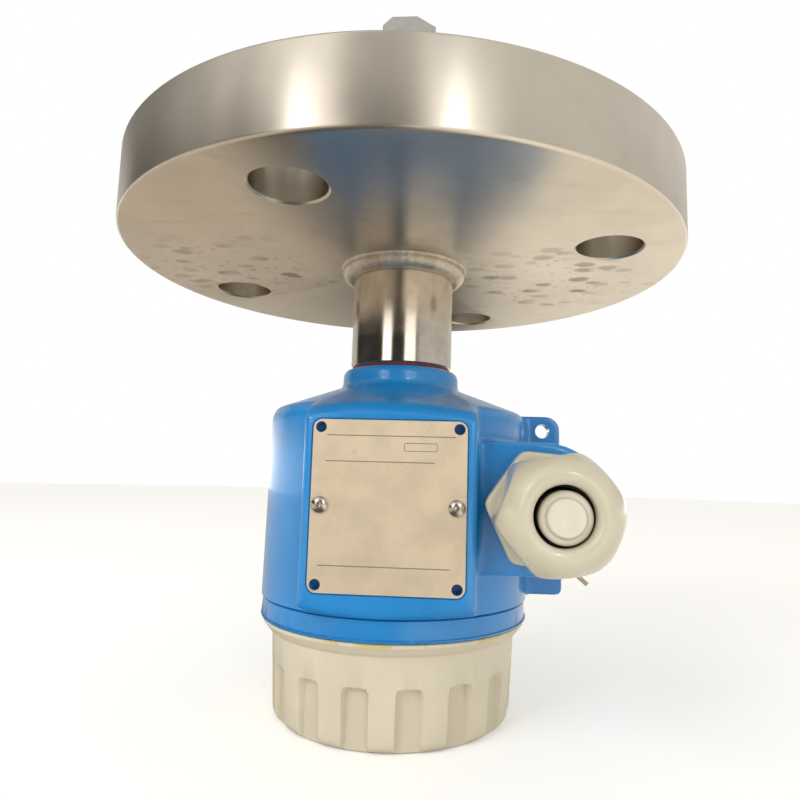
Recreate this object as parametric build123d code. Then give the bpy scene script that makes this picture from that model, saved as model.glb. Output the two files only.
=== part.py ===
from build123d import *
import os
from math import atan2, cos, degrees, pi, radians, sin, sqrt

# The frame: origin at the centre of the flange's back face, +Z along the axis towards the fork.
# The housing hangs below the flange, and its nameplate faces -Y. All sizes are in millimetres.

# Flange, a DN50 PN40 disc with a flat face
FLANGE_R = 82.5
FLANGE_T = 20.0
BOLT_CIRCLE_R = 62.5
BOLT_HOLE_R = 9.0
BOLT_COUNT = 4
FIRST_BOLT_ANGLE = -109.7
RIM_CHAMFER = 0.8

# Sensor tube and fork
TUBE_R = 10.65
TUBE_WALL = 2.0
TUBE_BACK = -6.0
TUBE_FRONT = 29.0
FORK_TIP = 82.0
FORK_COLLAR_LEN = 9.0
DIAPHRAGM_T = 1.2
TINE_GAP = 9.0
TINE_W = 17.0
TINE_ROOT_T = 5.2
TINE_BLADE_T = 4.0
TINE_ROOT_W = 11.0
BLADE_START = 20.0
FORK_WELD_W = 3.0
FORK_WELD_PROUD = 0.3

# Neck sleeve between the flange and the housing
NECK_R = 15.4
NECK_LEN = 31.6
NECK_BORE_R = 8.7
SPIGOT_R = 12.0
SPIGOT_LEN = 21.0
WELD_BACK_R = 19.6
WELD_BACK_H = 4.4
FACE_WELD_LEG = 3.2

# Seals of the swivelling joint
SEAL_RING_T = 0.7
SEAL_RING_R = 15.1
SWIVEL_GAP = 0.1
TURN_CLEARANCE = 0.1
ORING_SECTION_R = 0.9
ORING_DEPTH = 7.6

# Housing casting
COLLAR_R = 17.6
COLLAR_H = 5.8
COLLAR_ROUND = 2.4
BODY_LOW_R = 38.5
BODY_TOP_R = BODY_LOW_R - 0.5
BODY_TOP_DROP = 2.4
SHOULDER_R = BODY_TOP_R - 1.0
SHOULDER_DROP = 7.4
BODY_LEN = 65.4
RING_STEP = 0.5
RING_H = 5.2
HUB_LEN = 16.0
CAVITY_R = 31.5
THREAD_BORE_R = 33.1
THREAD_DEPTH = 10.5

# Nameplate pad, nameplate and its pins
PAD_Y = BODY_LOW_R + 1.5
PAD_W = 42.8
PAD_X = 1.7
PAD_ROUND = 2.0
PLATE_W = 37.7
PLATE_H = 41.5
PLATE_T = 0.5
PLATE_X = 1.6
PLATE_RISE = 26.4
PLATE_ROUND = 2.2
PLATE_CLEAR = 0.35
CORNER_HOLE_R = 1.35
CORNER_HOLE_INSET = 1.9
CORNER_HOLE_DEPTH = 4.0
PIN_HEAD_R = 2.1
PIN_HEAD_H = 1.1
PIN_SHANK_R = 1.2
PIN_LEN = 5.0
PIN_INSET = 2.3

# Cable entry boss, running across the right side of the housing
BOSS_X = 40.0
BOSS_RISE = 26.5
BOSS_R = 16.6
BOSS_FRONT = 32.0
BOSS_BACK = 32.0
ENTRY_R = 9.4
PASSAGE_W = 22.0
PASSAGE_H = 12.0
PASSAGE_REACH = 6.0

# Lug plate behind the boss
LUG_RIGHT = 48.7
LUG_DROP = 12.6
LUG_FRONT = 0.0
LUG_T = 5.0
LUG_HOLE_R = 2.1
LUG_HOLE_X = 43.4
LUG_HOLE_DROP = 4.6
LUG_TOP_ROUND = 4.3
LUG_LOW_ROUND = 1.9

# Swivel lock screw in the collar, and the outside earth terminal
LOCK_R = 2.0
LOCK_DROP = 3.0
GROUND_ANGLE = -40.0
GROUND_Y = -10.0
GROUND_SEAT = 0.5
GROUND_SHANK_R = 1.9
GROUND_DEPTH = 5.5
GROUND_HEAD_R = 2.8
GROUND_HEAD_H = 2.4
SPRING_WASHER_T = 0.9
CLAMP_T = 1.2
CLAMP_W = 7.0
CLAMP_SHORT = 4.0
CLAMP_LONG = 7.6
TONGUE_H = 6.9

# Screw cover
COVER_GAP = 0.9
BAND_R = 37.7
BAND_LOW_R = 36.0
BAND_H = 3.2
CUP_TOP_R = 35.0
CUP_LOW_R = 33.8
CUP_H = 23.6
CUP_WALL = 3.4
CUP_ROUND = 3.0
COVER_SPIGOT_R = 33.0
COVER_SPIGOT_LEN = 9.0
COVER_SPIGOT_WALL = 3.2
FLUTE_COUNT = 16
FLUTE_W = 6.4
FLUTE_DEPTH = 1.5
FLUTE_LEN = 15.3
FLUTE_ROUND = 1.7
FIRST_FLUTE_ANGLE = -77.0
COVER_SEAL_T = 0.8
COVER_SEAL_INNER_R = 32.0
COVER_SEAL_OUTER_R = 36.2

# Cable gland on the front entry
GLAND_SEAL_T = 1.5
GLAND_SEAL_R = 12.0
GLAND_THREAD_R = 9.3
GLAND_THREAD_LEN = 9.0
GLAND_HEX_AF = 27.0
GLAND_HEX_H = 6.0
GLAND_NECK_R = 8.9
GLAND_NECK_LEN = 15.0
GLAND_BORE_R = 6.3
INSERT_R = 7.6
INSERT_LEN = 11.0
NUT_AF = 25.0
NUT_LEN = 22.7
NUT_BACK_GAP = 0.8
NUT_CLEAR = 0.2
NUT_MOUTH_R = 6.4
NUT_DOME_START = 11.0
NUT_LIP_R = 8.4
NUT_TURN = 10.0
HEX_TURN = 16.0
CAP_R = 5.9
CAP_LEN = 16.0
CAP_RECESS = 2.0
CAP_BUTTON_R = 4.0
CAP_BUTTON_H = 0.8

# Blanking plug on the rear entry
BLANK_SEAL_R = 11.4
BLANK_SEAL_T = 1.2
BLANK_HEAD_R = 12.0
BLANK_HEAD_H = 5.0
BLANK_SOCKET_AF = 8.0
BLANK_SOCKET_DEPTH = 4.0

# Electronic insert
INSERT_TOP = -53.0
MODULE_R = 28.0
MODULE_H = 16.0
MODULE_WALL = 2.0
LID_T = 2.5
PILLAR_R = 4.0
PILLAR_Y = 22.5
FIXING_R = 1.9
BOARD_R = 16.5
BOARD_T = 1.6
BOARD_DROP = 8.0
TERMINAL_L = 34.0
TERMINAL_W = 11.0
TERMINAL_H = 7.0
TERMINAL_Y = 8.0
TERMINAL_COUNT = 5
TERMINAL_PITCH = 6.2
SLIDER_SLOT_L = 6.0
SLIDER_W = 2.2
SLIDER_TRAVEL = 2.5
SLIDER_Y = -8.0
SLIDER_X = 7.0
EAR_R = 4.6
RELAY_L = 12.0
RELAY_W = 8.0
RELAY_H = 6.0
CHIP_W = 8.0
CHIP_H = 1.8
CAN_R = 2.2
CAN_H = 4.0
TERMINAL_SCREW_R = 1.8
TERMINAL_SCREW_H = 3.0
FIXING_HEAD_R = 3.2
FIXING_HEAD_H = 2.4
FIXING_BITE = 7.0
LED_R = 1.5
LED_X = 5.0
LED_Y = -16.0
FIT = 0.1
SLIDING_GAP = 0.3


def save(name, shape):
    """Writes one sub-part to parts/NAME.step."""
    export_step(shape, f"parts/{name}.step")


def turned(points, rounds=None):
    """A solid turned about Z from (radius, height) corners; rounds gives a radius for some corners."""
    outline = Polyline(*[(r, 0, z) for r, z in points], close=True)
    face = make_face(outline).face()
    for corner, radius in (rounds or {}).items():
        r, z = points[corner]
        spot = Vector(r, 0, z)
        near = [v for v in face.vertices() if (Vector(v) - spot).length < 0.001]
        face = face.fillet_2d(radius, near)
    return revolve(face, Axis.Z)


def disc(radius, low, high, bore=0.0, x=0.0, y=0.0):
    """A round disc or ring between two heights."""
    body = Pos(x, y, (low + high) / 2) * Cylinder(radius, high - low)
    if bore:
        body -= Pos(x, y, (low + high) / 2) * Cylinder(bore, high - low)
    return body


def along_y(shape_of_z, x, z, y):
    """Turns a shape made about +Z to point along -Y from the point (x, y, z)."""
    return Pos(x, y, z) * Rot(90, 0, 0) * shape_of_z


def prism(af, low, high):
    """A hexagonal prism about Z, af across its flats."""
    hexagon = RegularPolygon(af / 2, 6, major_radius=False)
    return Pos(0, 0, low) * extrude(hexagon, high - low)


def spots(count, radius, first):
    """Points evenly spaced on a circle."""
    turns = [radians(first + 360.0 * k / count) for k in range(count)]
    return [(radius * cos(t), radius * sin(t)) for t in turns]


NECK_END = -NECK_LEN
COLLAR_TOP = NECK_END - SEAL_RING_T - SWIVEL_GAP
COLLAR_BASE = COLLAR_TOP - COLLAR_H
SHOULDER_Z = COLLAR_BASE - SHOULDER_DROP
BODY_TOP = SHOULDER_Z - BODY_TOP_DROP
RING_TOP = COLLAR_TOP - BODY_LEN
PLATE_Z = RING_TOP + PLATE_RISE
BOSS_Z = RING_TOP + BOSS_RISE
LUG_TOP = COLLAR_TOP - LUG_DROP
LUG_BOTTOM = RING_TOP
HOUSING_END = RING_TOP - RING_H
HUB_END = COLLAR_TOP - HUB_LEN
SPIGOT_END = NECK_END - SPIGOT_LEN
BORE_R = SPIGOT_R + TURN_CLEARANCE


def flange():
    back = RIM_CHAMFER
    body = turned([
        (TUBE_R, 0), (FLANGE_R - back, 0), (FLANGE_R, back), (FLANGE_R, FLANGE_T - back),
        (FLANGE_R - back, FLANGE_T), (TUBE_R + FACE_WELD_LEG, FLANGE_T), (TUBE_R, FLANGE_T - FACE_WELD_LEG)])
    for x, y in spots(BOLT_COUNT, BOLT_CIRCLE_R, FIRST_BOLT_ANGLE):
        body -= disc(BOLT_HOLE_R, -1, FLANGE_T + 1, x=x, y=y)
    return body


def neck_sleeve():
    groove_z = NECK_END - ORING_DEPTH
    clip_z = HUB_END - SLIDING_GAP
    clip_floor = SPIGOT_R - 0.8
    clip_t = 1.2
    groove_floor = SPIGOT_R - 2 * ORING_SECTION_R
    return turned([
        (TUBE_R, 0), (NECK_R, 0), (NECK_R, NECK_END + 0.4), (NECK_R - 0.4, NECK_END),
        (SPIGOT_R, NECK_END), (SPIGOT_R, groove_z + 1.2), (groove_floor, groove_z + 1.2),
        (groove_floor, groove_z - 1.2), (SPIGOT_R, groove_z - 1.2), (SPIGOT_R, clip_z),
        (clip_floor, clip_z), (clip_floor, clip_z - clip_t), (SPIGOT_R, clip_z - clip_t),
        (SPIGOT_R, SPIGOT_END + 0.6), (SPIGOT_R - 0.6, SPIGOT_END), (NECK_BORE_R, SPIGOT_END),
        (NECK_BORE_R, TUBE_BACK), (TUBE_R, TUBE_BACK)])


def retaining_ring():
    clip_z = HUB_END - SLIDING_GAP
    clip_t = 1.1
    ring = disc(SPIGOT_R + 1.6, clip_z - clip_t, clip_z, bore=SPIGOT_R - 0.8)
    return ring - Pos(0, SPIGOT_R, clip_z - clip_t / 2) * Box(7, 8, 3)


def neck_weld():
    """The fillet weld bead between the neck and the flange, with a slightly domed face."""
    leg = WELD_BACK_R - NECK_R
    tip = Vector(NECK_R, 0, -WELD_BACK_H)
    toe = Vector(NECK_R + leg, 0, 0)
    root = Vector(NECK_R, 0, 0)
    crown = (tip + toe) * 0.5 + Vector(0.12 * leg, 0, -0.12 * WELD_BACK_H)
    outline = [Line(root, tip), ThreePointArc(tip, crown, toe), Line(toe, root)]
    return revolve(make_face(outline), Axis.Z)


def face_weld():
    """The weld that fills the bevel round the tube, ground flush with the sealing face."""
    return turned([(TUBE_R, FLANGE_T - FACE_WELD_LEG), (TUBE_R + FACE_WELD_LEG, FLANGE_T), (TUBE_R, FLANGE_T)])


def fork():
    """The diaphragm, its collar and both tines, one piece of stainless steel."""
    base = TUBE_FRONT
    top = base + FORK_COLLAR_LEN
    body = turned([
        (TUBE_R - TUBE_WALL, base), (TUBE_R, base), (TUBE_R, top - 1.6), (TUBE_R - 1.6, top),
        (0, top), (0, top - DIAPHRAGM_T), (TUBE_R - TUBE_WALL, top - DIAPHRAGM_T)])
    blade_low = top + BLADE_START
    for side in (-1, 1):
        y = side * (TINE_GAP / 2)
        outer = y + side * TINE_ROOT_T
        blade = y + side * TINE_BLADE_T
        half = TINE_W / 2
        root_half = TINE_ROOT_W / 2
        front = Polyline(
            (-root_half, top - 0.6), (root_half, top - 0.6), (root_half, blade_low - 9),
            (half, blade_low), (half, FORK_TIP - 4), (half - 6, FORK_TIP),
            (-half + 3, FORK_TIP), (-half, FORK_TIP - 3), (-half, blade_low),
            (-root_half, blade_low - 9), close=True)
        wide = extrude(make_face(Plane.XZ * front), 40, both=True)
        side_view = Polyline(
            (y, top - 0.6), (outer, top - 0.6), (outer, blade_low - 6), (blade, blade_low),
            (blade - side * 0.9, FORK_TIP), (y, FORK_TIP), close=True)
        deep = extrude(make_face(Plane.YZ * side_view), 40, both=True)
        body += wide & deep
    return body


def fork_girth_weld():
    seam = TUBE_FRONT
    half = FORK_WELD_W / 2
    return turned([
        (TUBE_R, seam - half), (TUBE_R + FORK_WELD_PROUD, seam - half / 2),
        (TUBE_R + FORK_WELD_PROUD, seam + half / 2), (TUBE_R, seam + half)])


STACK_TOP = TUBE_FRONT + FORK_COLLAR_LEN - DIAPHRAGM_T
PRESS_T = 2.5
PIEZO_T = 1.0
FOIL_T = 0.2
PIEZO_COUNT = 4
STACK_R = 5.5
STACK_BOLT_R = 1.5
STACK_BORE_R = 1.8
STACK_STEP = PIEZO_T + FOIL_T
PIEZO_TOP = STACK_TOP - PRESS_T
PIEZO_END = PIEZO_TOP - PIEZO_COUNT * STACK_STEP
BACK_MASS_T = 3.0
STACK_NUT_T = 2.2
STACK_END = PIEZO_END - BACK_MASS_T - STACK_NUT_T


def drive_stack():
    """The pieces of the drive clamped behind the diaphragm, as name and shape."""
    discs = Compound([
        disc(STACK_R, PIEZO_TOP - k * STACK_STEP - PIEZO_T, PIEZO_TOP - k * STACK_STEP,
             bore=STACK_BORE_R) for k in range(PIEZO_COUNT)])
    foils = Compound([
        disc(STACK_R + 0.4, PIEZO_TOP - (k + 1) * STACK_STEP, PIEZO_TOP - k * STACK_STEP - PIEZO_T,
             bore=STACK_BORE_R) for k in range(PIEZO_COUNT)])
    nut_low = STACK_END
    nut = prism(6.0, nut_low, nut_low + STACK_NUT_T) - disc(STACK_BOLT_R, nut_low, nut_low + STACK_NUT_T)
    return {
        "drive_pressure_ring": disc(TUBE_R - TUBE_WALL - 1.4, PIEZO_TOP, STACK_TOP, bore=STACK_BORE_R),
        "piezo_discs": discs,
        "piezo_electrodes": foils,
        "drive_back_mass": disc(STACK_R, PIEZO_END - BACK_MASS_T, PIEZO_END, bore=STACK_BORE_R),
        "drive_bolt": disc(STACK_BOLT_R, STACK_END - 1.5, STACK_TOP),
        "drive_nut": nut,
    }


PLUG_TOP = -36.0
PLUG_T = 6.0
LEAD_R = 0.7
LEAD_CIRCLE_R = 4.2
LEAD_COUNT = 3
PIN_R = 0.5
PLUG_PIN_LEN = 6.0


def lead_spots():
    return spots(LEAD_COUNT, LEAD_CIRCLE_R, 90)


def sealing_plug():
    """The potted plug that closes the neck behind the sensor, bored for the contact pins."""
    body = disc(NECK_BORE_R, PLUG_TOP - PLUG_T, PLUG_TOP)
    for x, y in lead_spots():
        body -= disc(PIN_R, PLUG_TOP - PLUG_T - 1, PLUG_TOP + 1, x=x, y=y)
    return body


def contact_pins():
    low = PLUG_TOP - PLUG_T - PLUG_PIN_LEN
    return Compound([disc(PIN_R, low, PLUG_TOP + 1.5, x=x, y=y) for x, y in lead_spots()])


def sensor_leads():
    return Compound([
        disc(LEAD_R, PLUG_TOP + 1.5, PIEZO_END - BACK_MASS_T, x=x, y=y) for x, y in lead_spots()])


def plate_corners(inset):
    half_w, half_h = PLATE_W / 2 - inset, PLATE_H / 2 - inset
    return [(PLATE_X + sx * half_w, PLATE_Z + sz * half_h) for sx in (-1, 1) for sz in (-1, 1)]


def pin_places():
    reach = PLATE_W / 2 - PIN_INSET
    return [(PLATE_X - reach, PLATE_Z), (PLATE_X + reach, PLATE_Z)]


PLATE_SEAT = PAD_Y - PLATE_T - 0.1
LIP_R = BODY_LOW_R - RING_STEP


def housing_outside():
    """The casting's outer form: collar, sloping shoulder, drum, base ring, pad, boss and lug plate."""
    drum = turned([
        (0, COLLAR_TOP), (COLLAR_R, COLLAR_TOP), (COLLAR_R, COLLAR_BASE), (SHOULDER_R, SHOULDER_Z),
        (BODY_TOP_R, BODY_TOP), (BODY_LOW_R, RING_TOP), (LIP_R, RING_TOP),
        (LIP_R, HOUSING_END), (0, HOUSING_END)],
        {1: COLLAR_ROUND, 2: 1.8, 3: 1.6, 4: 1.2, 5: 0.25, 7: 0.8})
    pad_h = COLLAR_BASE - RING_TOP
    pad = Pos(PAD_X, -PAD_Y / 2, RING_TOP + pad_h / 2) * Box(PAD_W, PAD_Y, pad_h)
    pad = fillet(pad.edges().filter_by(Axis.Z), PAD_ROUND)
    slope = SHOULDER_DROP / (SHOULDER_R - COLLAR_R)
    far = PAD_Y + 15
    roof = turned([
        (0, COLLAR_BASE), (COLLAR_R, COLLAR_BASE), (far, COLLAR_BASE - slope * (far - COLLAR_R)),
        (far, RING_TOP), (0, RING_TOP)])
    shell = drum + (pad & roof)
    shell += housing_boss() + ground_seat()
    return shell + lug_plate()


def housing_boss():
    length = BOSS_FRONT + BOSS_BACK
    middle = (BOSS_BACK - BOSS_FRONT) / 2
    round_part = Pos(BOSS_X, middle, BOSS_Z) * Rot(90, 0, 0) * Cylinder(BOSS_R, length)
    inner_x = 12.0
    link = Pos((inner_x + BOSS_X) / 2, middle, BOSS_Z) * Box(BOSS_X - inner_x, length, 2 * BOSS_R)
    boss = round_part + link
    front_edge = [e for e in boss.edges() if abs(e.center().Y + BOSS_FRONT) < 0.01 and e.center().X > 14]
    back_edge = [e for e in boss.edges() if abs(e.center().Y - BOSS_BACK) < 0.01 and e.center().X > 14]
    return fillet(front_edge + back_edge, 1.0)


def ground_seat():
    """The flat on the boss that carries the earth clamp."""
    margin = 0.5
    length = CLAMP_SHORT + CLAMP_LONG + 2 * margin
    depth = 5.0
    middle = (CLAMP_LONG - CLAMP_SHORT) / 2
    return GROUND_PLACE * Pos(middle, 0, GROUND_SEAT - depth / 2) * Box(length, CLAMP_W + 2 * margin, depth)


def lug_plate():
    left = 20.0
    height = LUG_TOP - LUG_BOTTOM
    plate = Pos((left + LUG_RIGHT) / 2, -LUG_FRONT + LUG_T / 2, (LUG_TOP + LUG_BOTTOM) / 2) * Box(
        LUG_RIGHT - left, LUG_T, height)
    corners = [e for e in plate.edges().filter_by(Axis.Y) if e.center().X > left + 1]
    top = [e for e in corners if e.center().Z > PLATE_Z]
    low = [e for e in corners if e.center().Z < PLATE_Z]
    plate = fillet(top, LUG_TOP_ROUND)
    low = [e for e in plate.edges().filter_by(Axis.Y) if e.center().X > left + 1 and e.center().Z < LUG_BOTTOM + 1]
    plate = fillet(low, LUG_LOW_ROUND)
    outer = LUG_RIGHT - LUG_TOP_ROUND
    rim = [e for e in plate.edges() if e.center().X > outer and abs(e.center().Y + LUG_FRONT) < 0.01]
    plate = fillet(rim, 0.8)
    centre = Pos(LUG_HOLE_X, -LUG_FRONT + LUG_T / 2, LUG_TOP - LUG_HOLE_DROP)
    hole = centre * Rot(90, 0, 0) * Cylinder(LUG_HOLE_R, LUG_T + 2)
    return plate - hole


def housing():
    body = housing_outside()
    inside = turned([
        (0, HUB_END), (SPIGOT_R + 8, HUB_END), (CAVITY_R, HUB_END - 4),
        (CAVITY_R, HOUSING_END + THREAD_DEPTH), (THREAD_BORE_R, HOUSING_END + THREAD_DEPTH),
        (THREAD_BORE_R, HOUSING_END - 1), (0, HOUSING_END - 1)])
    body -= inside
    body -= disc(BORE_R, HUB_END - 1, COLLAR_TOP + 1)
    for y in (-PILLAR_Y, PILLAR_Y):
        body += disc(PILLAR_R, INSERT_TOP, HUB_END + 1, y=y)
        body -= disc(FIXING_R, INSERT_TOP - 1, INSERT_TOP + 9, y=y)
    entry_len = BOSS_FRONT + BOSS_BACK + 2
    body -= Pos(BOSS_X, 0, BOSS_Z) * Rot(90, 0, 0) * Cylinder(ENTRY_R, entry_len)
    passage_len = BOSS_X - CAVITY_R + PASSAGE_REACH
    body -= Pos(BOSS_X - passage_len / 2, 0, BOSS_Z) * Box(passage_len, PASSAGE_W, PASSAGE_H)
    pocket = Pos(PLATE_X, -PLATE_SEAT - 2, PLATE_Z) * Box(
        PLATE_W + 2 * PLATE_CLEAR, 4, PLATE_H + 2 * PLATE_CLEAR)
    body -= fillet(pocket.edges().filter_by(Axis.Y), PLATE_ROUND + PLATE_CLEAR)
    for x, z in plate_corners(CORNER_HOLE_INSET):
        body -= along_y(Cylinder(CORNER_HOLE_R, 2 * CORNER_HOLE_DEPTH), x, z, -PLATE_SEAT)
    for x, z in pin_places():
        body -= along_y(Cylinder(PIN_SHANK_R, 2 * PIN_LEN), x, z, -PLATE_SEAT)
    body -= Pos(0, COLLAR_R, LOCK_Z) * Rot(90, 0, 0) * Cylinder(LOCK_R, 2 * (COLLAR_R - BORE_R) + 2)
    body -= GROUND_PLACE * disc(GROUND_SHANK_R, GROUND_SEAT - GROUND_DEPTH, GROUND_SEAT + 1)
    return body


LOCK_Z = COLLAR_TOP - LOCK_DROP
GROUND_RAY = Vector(cos(radians(GROUND_ANGLE)), 0, sin(radians(GROUND_ANGLE)))
GROUND_AT = Vector(BOSS_X, GROUND_Y, BOSS_Z) + GROUND_RAY * BOSS_R
GROUND_TANGENT = Vector(GROUND_RAY.Z, 0, -GROUND_RAY.X)
GROUND_PLACE = Location(Plane(origin=GROUND_AT, x_dir=GROUND_TANGENT, z_dir=GROUND_RAY))


def lock_screw():
    screw = Pos(0, 15.1, LOCK_Z) * Rot(90, 0, 0) * Cylinder(LOCK_R - 0.05, 4.6)
    socket = Pos(0, 17.4, LOCK_Z) * Rot(90, 0, 0) * prism(2.0, -2, 2)
    return screw - socket


def ground_terminal():
    """The outside earth terminal on the boss: screw, spring washer and a clamp with a raised tongue."""
    clamp_len = CLAMP_SHORT + CLAMP_LONG
    clamp_top = GROUND_SEAT + CLAMP_T
    middle = (CLAMP_LONG - CLAMP_SHORT) / 2
    clamp = Pos(middle, 0, GROUND_SEAT + CLAMP_T / 2) * Box(clamp_len, CLAMP_W, CLAMP_T)
    clamp += Pos(CLAMP_LONG - CLAMP_T / 2, 0, GROUND_SEAT + TONGUE_H / 2) * Box(CLAMP_T, CLAMP_W, TONGUE_H)
    clamp -= Cylinder(GROUND_SHANK_R + FIT, 20)
    head_low = clamp_top + SPRING_WASHER_T
    washer = disc(GROUND_HEAD_R + 0.1, clamp_top, head_low, bore=GROUND_SHANK_R + FIT)
    screw = disc(GROUND_HEAD_R, head_low, head_low + GROUND_HEAD_H)
    screw += disc(GROUND_SHANK_R - 0.05, GROUND_SEAT - GROUND_DEPTH + 0.5, head_low + 1)
    screw -= Pos(0, 0, head_low + GROUND_HEAD_H) * Box(0.9, 8, 2.2)
    return {
        "ground_clamp": GROUND_PLACE * clamp,
        "ground_spring_washer": GROUND_PLACE * washer,
        "ground_screw": GROUND_PLACE * screw,
    }


def nameplate():
    plate = Pos(PLATE_X, -PLATE_SEAT - PLATE_T / 2, PLATE_Z) * Box(PLATE_W, PLATE_T, PLATE_H)
    plate = fillet(plate.edges().filter_by(Axis.Y), PLATE_ROUND)
    for x, z in plate_corners(CORNER_HOLE_INSET):
        plate -= along_y(Cylinder(CORNER_HOLE_R, 4), x, z, -PLATE_SEAT)
    for x, z in pin_places():
        plate -= along_y(Cylinder(PIN_SHANK_R, 4), x, z, -PLATE_SEAT)
    return plate


def nameplate_pins():
    """The two drive pins, each a ball-faced head on a plain shank."""
    face = PLATE_SEAT + PLATE_T
    ball_r = (PIN_HEAD_R ** 2 + PIN_HEAD_H ** 2) / (2 * PIN_HEAD_H)
    dome = Pos(0, 0, PIN_HEAD_H - ball_r) * Sphere(ball_r)
    dome &= Pos(0, 0, PIN_HEAD_H) * Cylinder(PIN_HEAD_R, 2 * PIN_HEAD_H)
    dome += Pos(0, 0, -PIN_LEN / 2 + 0.2) * Cylinder(PIN_SHANK_R, PIN_LEN - 0.6 + 0.2)
    return Compound([along_y(dome, x, z, -face) for x, z in pin_places()])


COVER_TOP = HOUSING_END - COVER_GAP
BAND_END = COVER_TOP - BAND_H
CUP_END = BAND_END - CUP_H
COVER_INNER_R = CUP_LOW_R - CUP_WALL


def cover():
    spigot_top = COVER_TOP + COVER_SPIGOT_LEN
    groove = COVER_SEAL_INNER_R - 0.2
    body = turned([
        (0, CUP_END), (CUP_LOW_R, CUP_END), (CUP_TOP_R, BAND_END), (BAND_LOW_R, BAND_END),
        (BAND_R, COVER_TOP - 0.8), (BAND_R, COVER_TOP), (groove, COVER_TOP),
        (groove, COVER_TOP + 1.7), (COVER_SPIGOT_R, COVER_TOP + 1.7),
        (COVER_SPIGOT_R, spigot_top - 0.6), (COVER_SPIGOT_R - 0.6, spigot_top),
        (COVER_INNER_R, spigot_top), (COVER_INNER_R, CUP_END + CUP_WALL), (0, CUP_END + CUP_WALL)],
        {1: CUP_ROUND, 2: 0.5})
    reach = 8.0
    low = CUP_END - 5
    top = CUP_END + FLUTE_LEN
    cutter = Pos(CUP_LOW_R - FLUTE_DEPTH + reach / 2, 0, (low + top) / 2) * Box(reach, FLUTE_W, top - low)
    upper = [e for e in cutter.edges().filter_by(Axis.X) if e.center().Z > top - 0.1]
    cutter = fillet(upper, FLUTE_ROUND)
    for k in range(FLUTE_COUNT):
        body -= Rot(0, 0, FIRST_FLUTE_ANGLE + 360.0 * k / FLUTE_COUNT) * cutter
    return body


def cover_seal():
    """The flat rubber ring at the root of the cover's spigot, under the housing's lip."""
    low = COVER_TOP + (COVER_GAP - COVER_SEAL_T) / 2
    return disc(COVER_SEAL_OUTER_R, low, low + COVER_SEAL_T, bore=COVER_SEAL_INNER_R)


def swivel_o_ring():
    middle = SPIGOT_R - ORING_SECTION_R + 0.02
    section = Plane.XZ * Pos(middle, NECK_END - ORING_DEPTH) * Circle(ORING_SECTION_R - 0.05)
    return revolve(section, Axis.Z)


# The gland's pieces are made about +Z, outwards from the boss face, and turned to point along -Y
HEX_LOW = GLAND_SEAL_T
HEX_TOP = HEX_LOW + GLAND_HEX_H
NECK_TOP = HEX_TOP + GLAND_NECK_LEN
NUT_LOW = HEX_TOP + NUT_BACK_GAP
NUT_TOP = NUT_LOW + NUT_LEN
INSERT_LOW = NECK_TOP - INSERT_LEN + 2.0


def on_front_entry(shape):
    return along_y(shape, BOSS_X, BOSS_Z, -BOSS_FRONT)


def rounded_hex(af, low, high, corner_r):
    """A hexagonal prism with its corners turned down to a round."""
    return prism(af, low, high) & disc(corner_r, low, high)


def gland_body():
    body = Rot(0, 0, HEX_TURN) * rounded_hex(GLAND_HEX_AF, HEX_LOW, HEX_TOP, GLAND_HEX_AF / 2 * 1.13)
    body += disc(GLAND_THREAD_R, -GLAND_THREAD_LEN, HEX_LOW + 1)
    body += disc(GLAND_NECK_R, HEX_TOP - 1, NECK_TOP)
    body -= disc(GLAND_BORE_R, -GLAND_THREAD_LEN - 1, NECK_TOP + 1)
    body -= disc(INSERT_R + FIT, INSERT_LOW, NECK_TOP + 1)
    slot_count = 4
    for k in range(slot_count):
        slot = Pos(0, 0, NECK_TOP - 2) * Rot(0, 0, 180 * k / slot_count) * Box(30, 1.0, 4.2)
        body -= slot
    return on_front_entry(body)


def gland_seal_washer():
    return on_front_entry(disc(GLAND_SEAL_R, 0, GLAND_SEAL_T, bore=GLAND_THREAD_R))


def gland_seal_insert():
    body = disc(INSERT_R - FIT, INSERT_LOW + 0.3, INSERT_LOW + INSERT_LEN, bore=CAP_R + 0.05)
    return on_front_entry(body)


def gland_nut():
    corner = NUT_AF / 2 / cos(pi / 6)
    straight = NUT_LOW + NUT_DOME_START
    low_corner = Vector(0, 0, NUT_LOW)
    rim = Vector(corner - 0.5, 0, straight)
    lip = Vector(NUT_LIP_R, 0, NUT_TOP)
    bulge = Vector(corner - 2.3, 0, NUT_LOW + NUT_DOME_START + 0.72 * (NUT_LEN - NUT_DOME_START))
    outline = [
        Line(low_corner, Vector(corner - 0.5, 0, NUT_LOW)), Line(Vector(corner - 0.5, 0, NUT_LOW), rim),
        ThreePointArc(rim, bulge, lip), Line(lip, Vector(0, 0, NUT_TOP)), Line(Vector(0, 0, NUT_TOP), low_corner)]
    dome = revolve(make_face(outline), Axis.Z)
    body = Rot(0, 0, NUT_TURN) * prism(NUT_AF, NUT_LOW, NUT_TOP) & dome
    thread_top = NECK_TOP + 0.6
    inner = turned([
        (0, NUT_LOW - 1), (GLAND_NECK_R + NUT_CLEAR, NUT_LOW - 1), (GLAND_NECK_R + NUT_CLEAR, thread_top),
        (INSERT_R + 0.4, thread_top + 1.2), (INSERT_R + 0.4, INSERT_LOW + INSERT_LEN + 0.3),
        (NUT_MOUTH_R, INSERT_LOW + INSERT_LEN + 1.3), (NUT_MOUTH_R, NUT_TOP - 1.6),
        (NUT_MOUTH_R + 0.9, NUT_TOP + 0.01), (0, NUT_TOP + 0.01)])
    return on_front_entry(body - inner)


def gland_cap():
    """The dust cap that blanks the gland, with a round button on its face."""
    face = NUT_TOP - CAP_RECESS
    body = disc(CAP_R, face - CAP_LEN, face)
    body += disc(CAP_BUTTON_R, face - 1, face + CAP_BUTTON_H)
    return on_front_entry(body)


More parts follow.
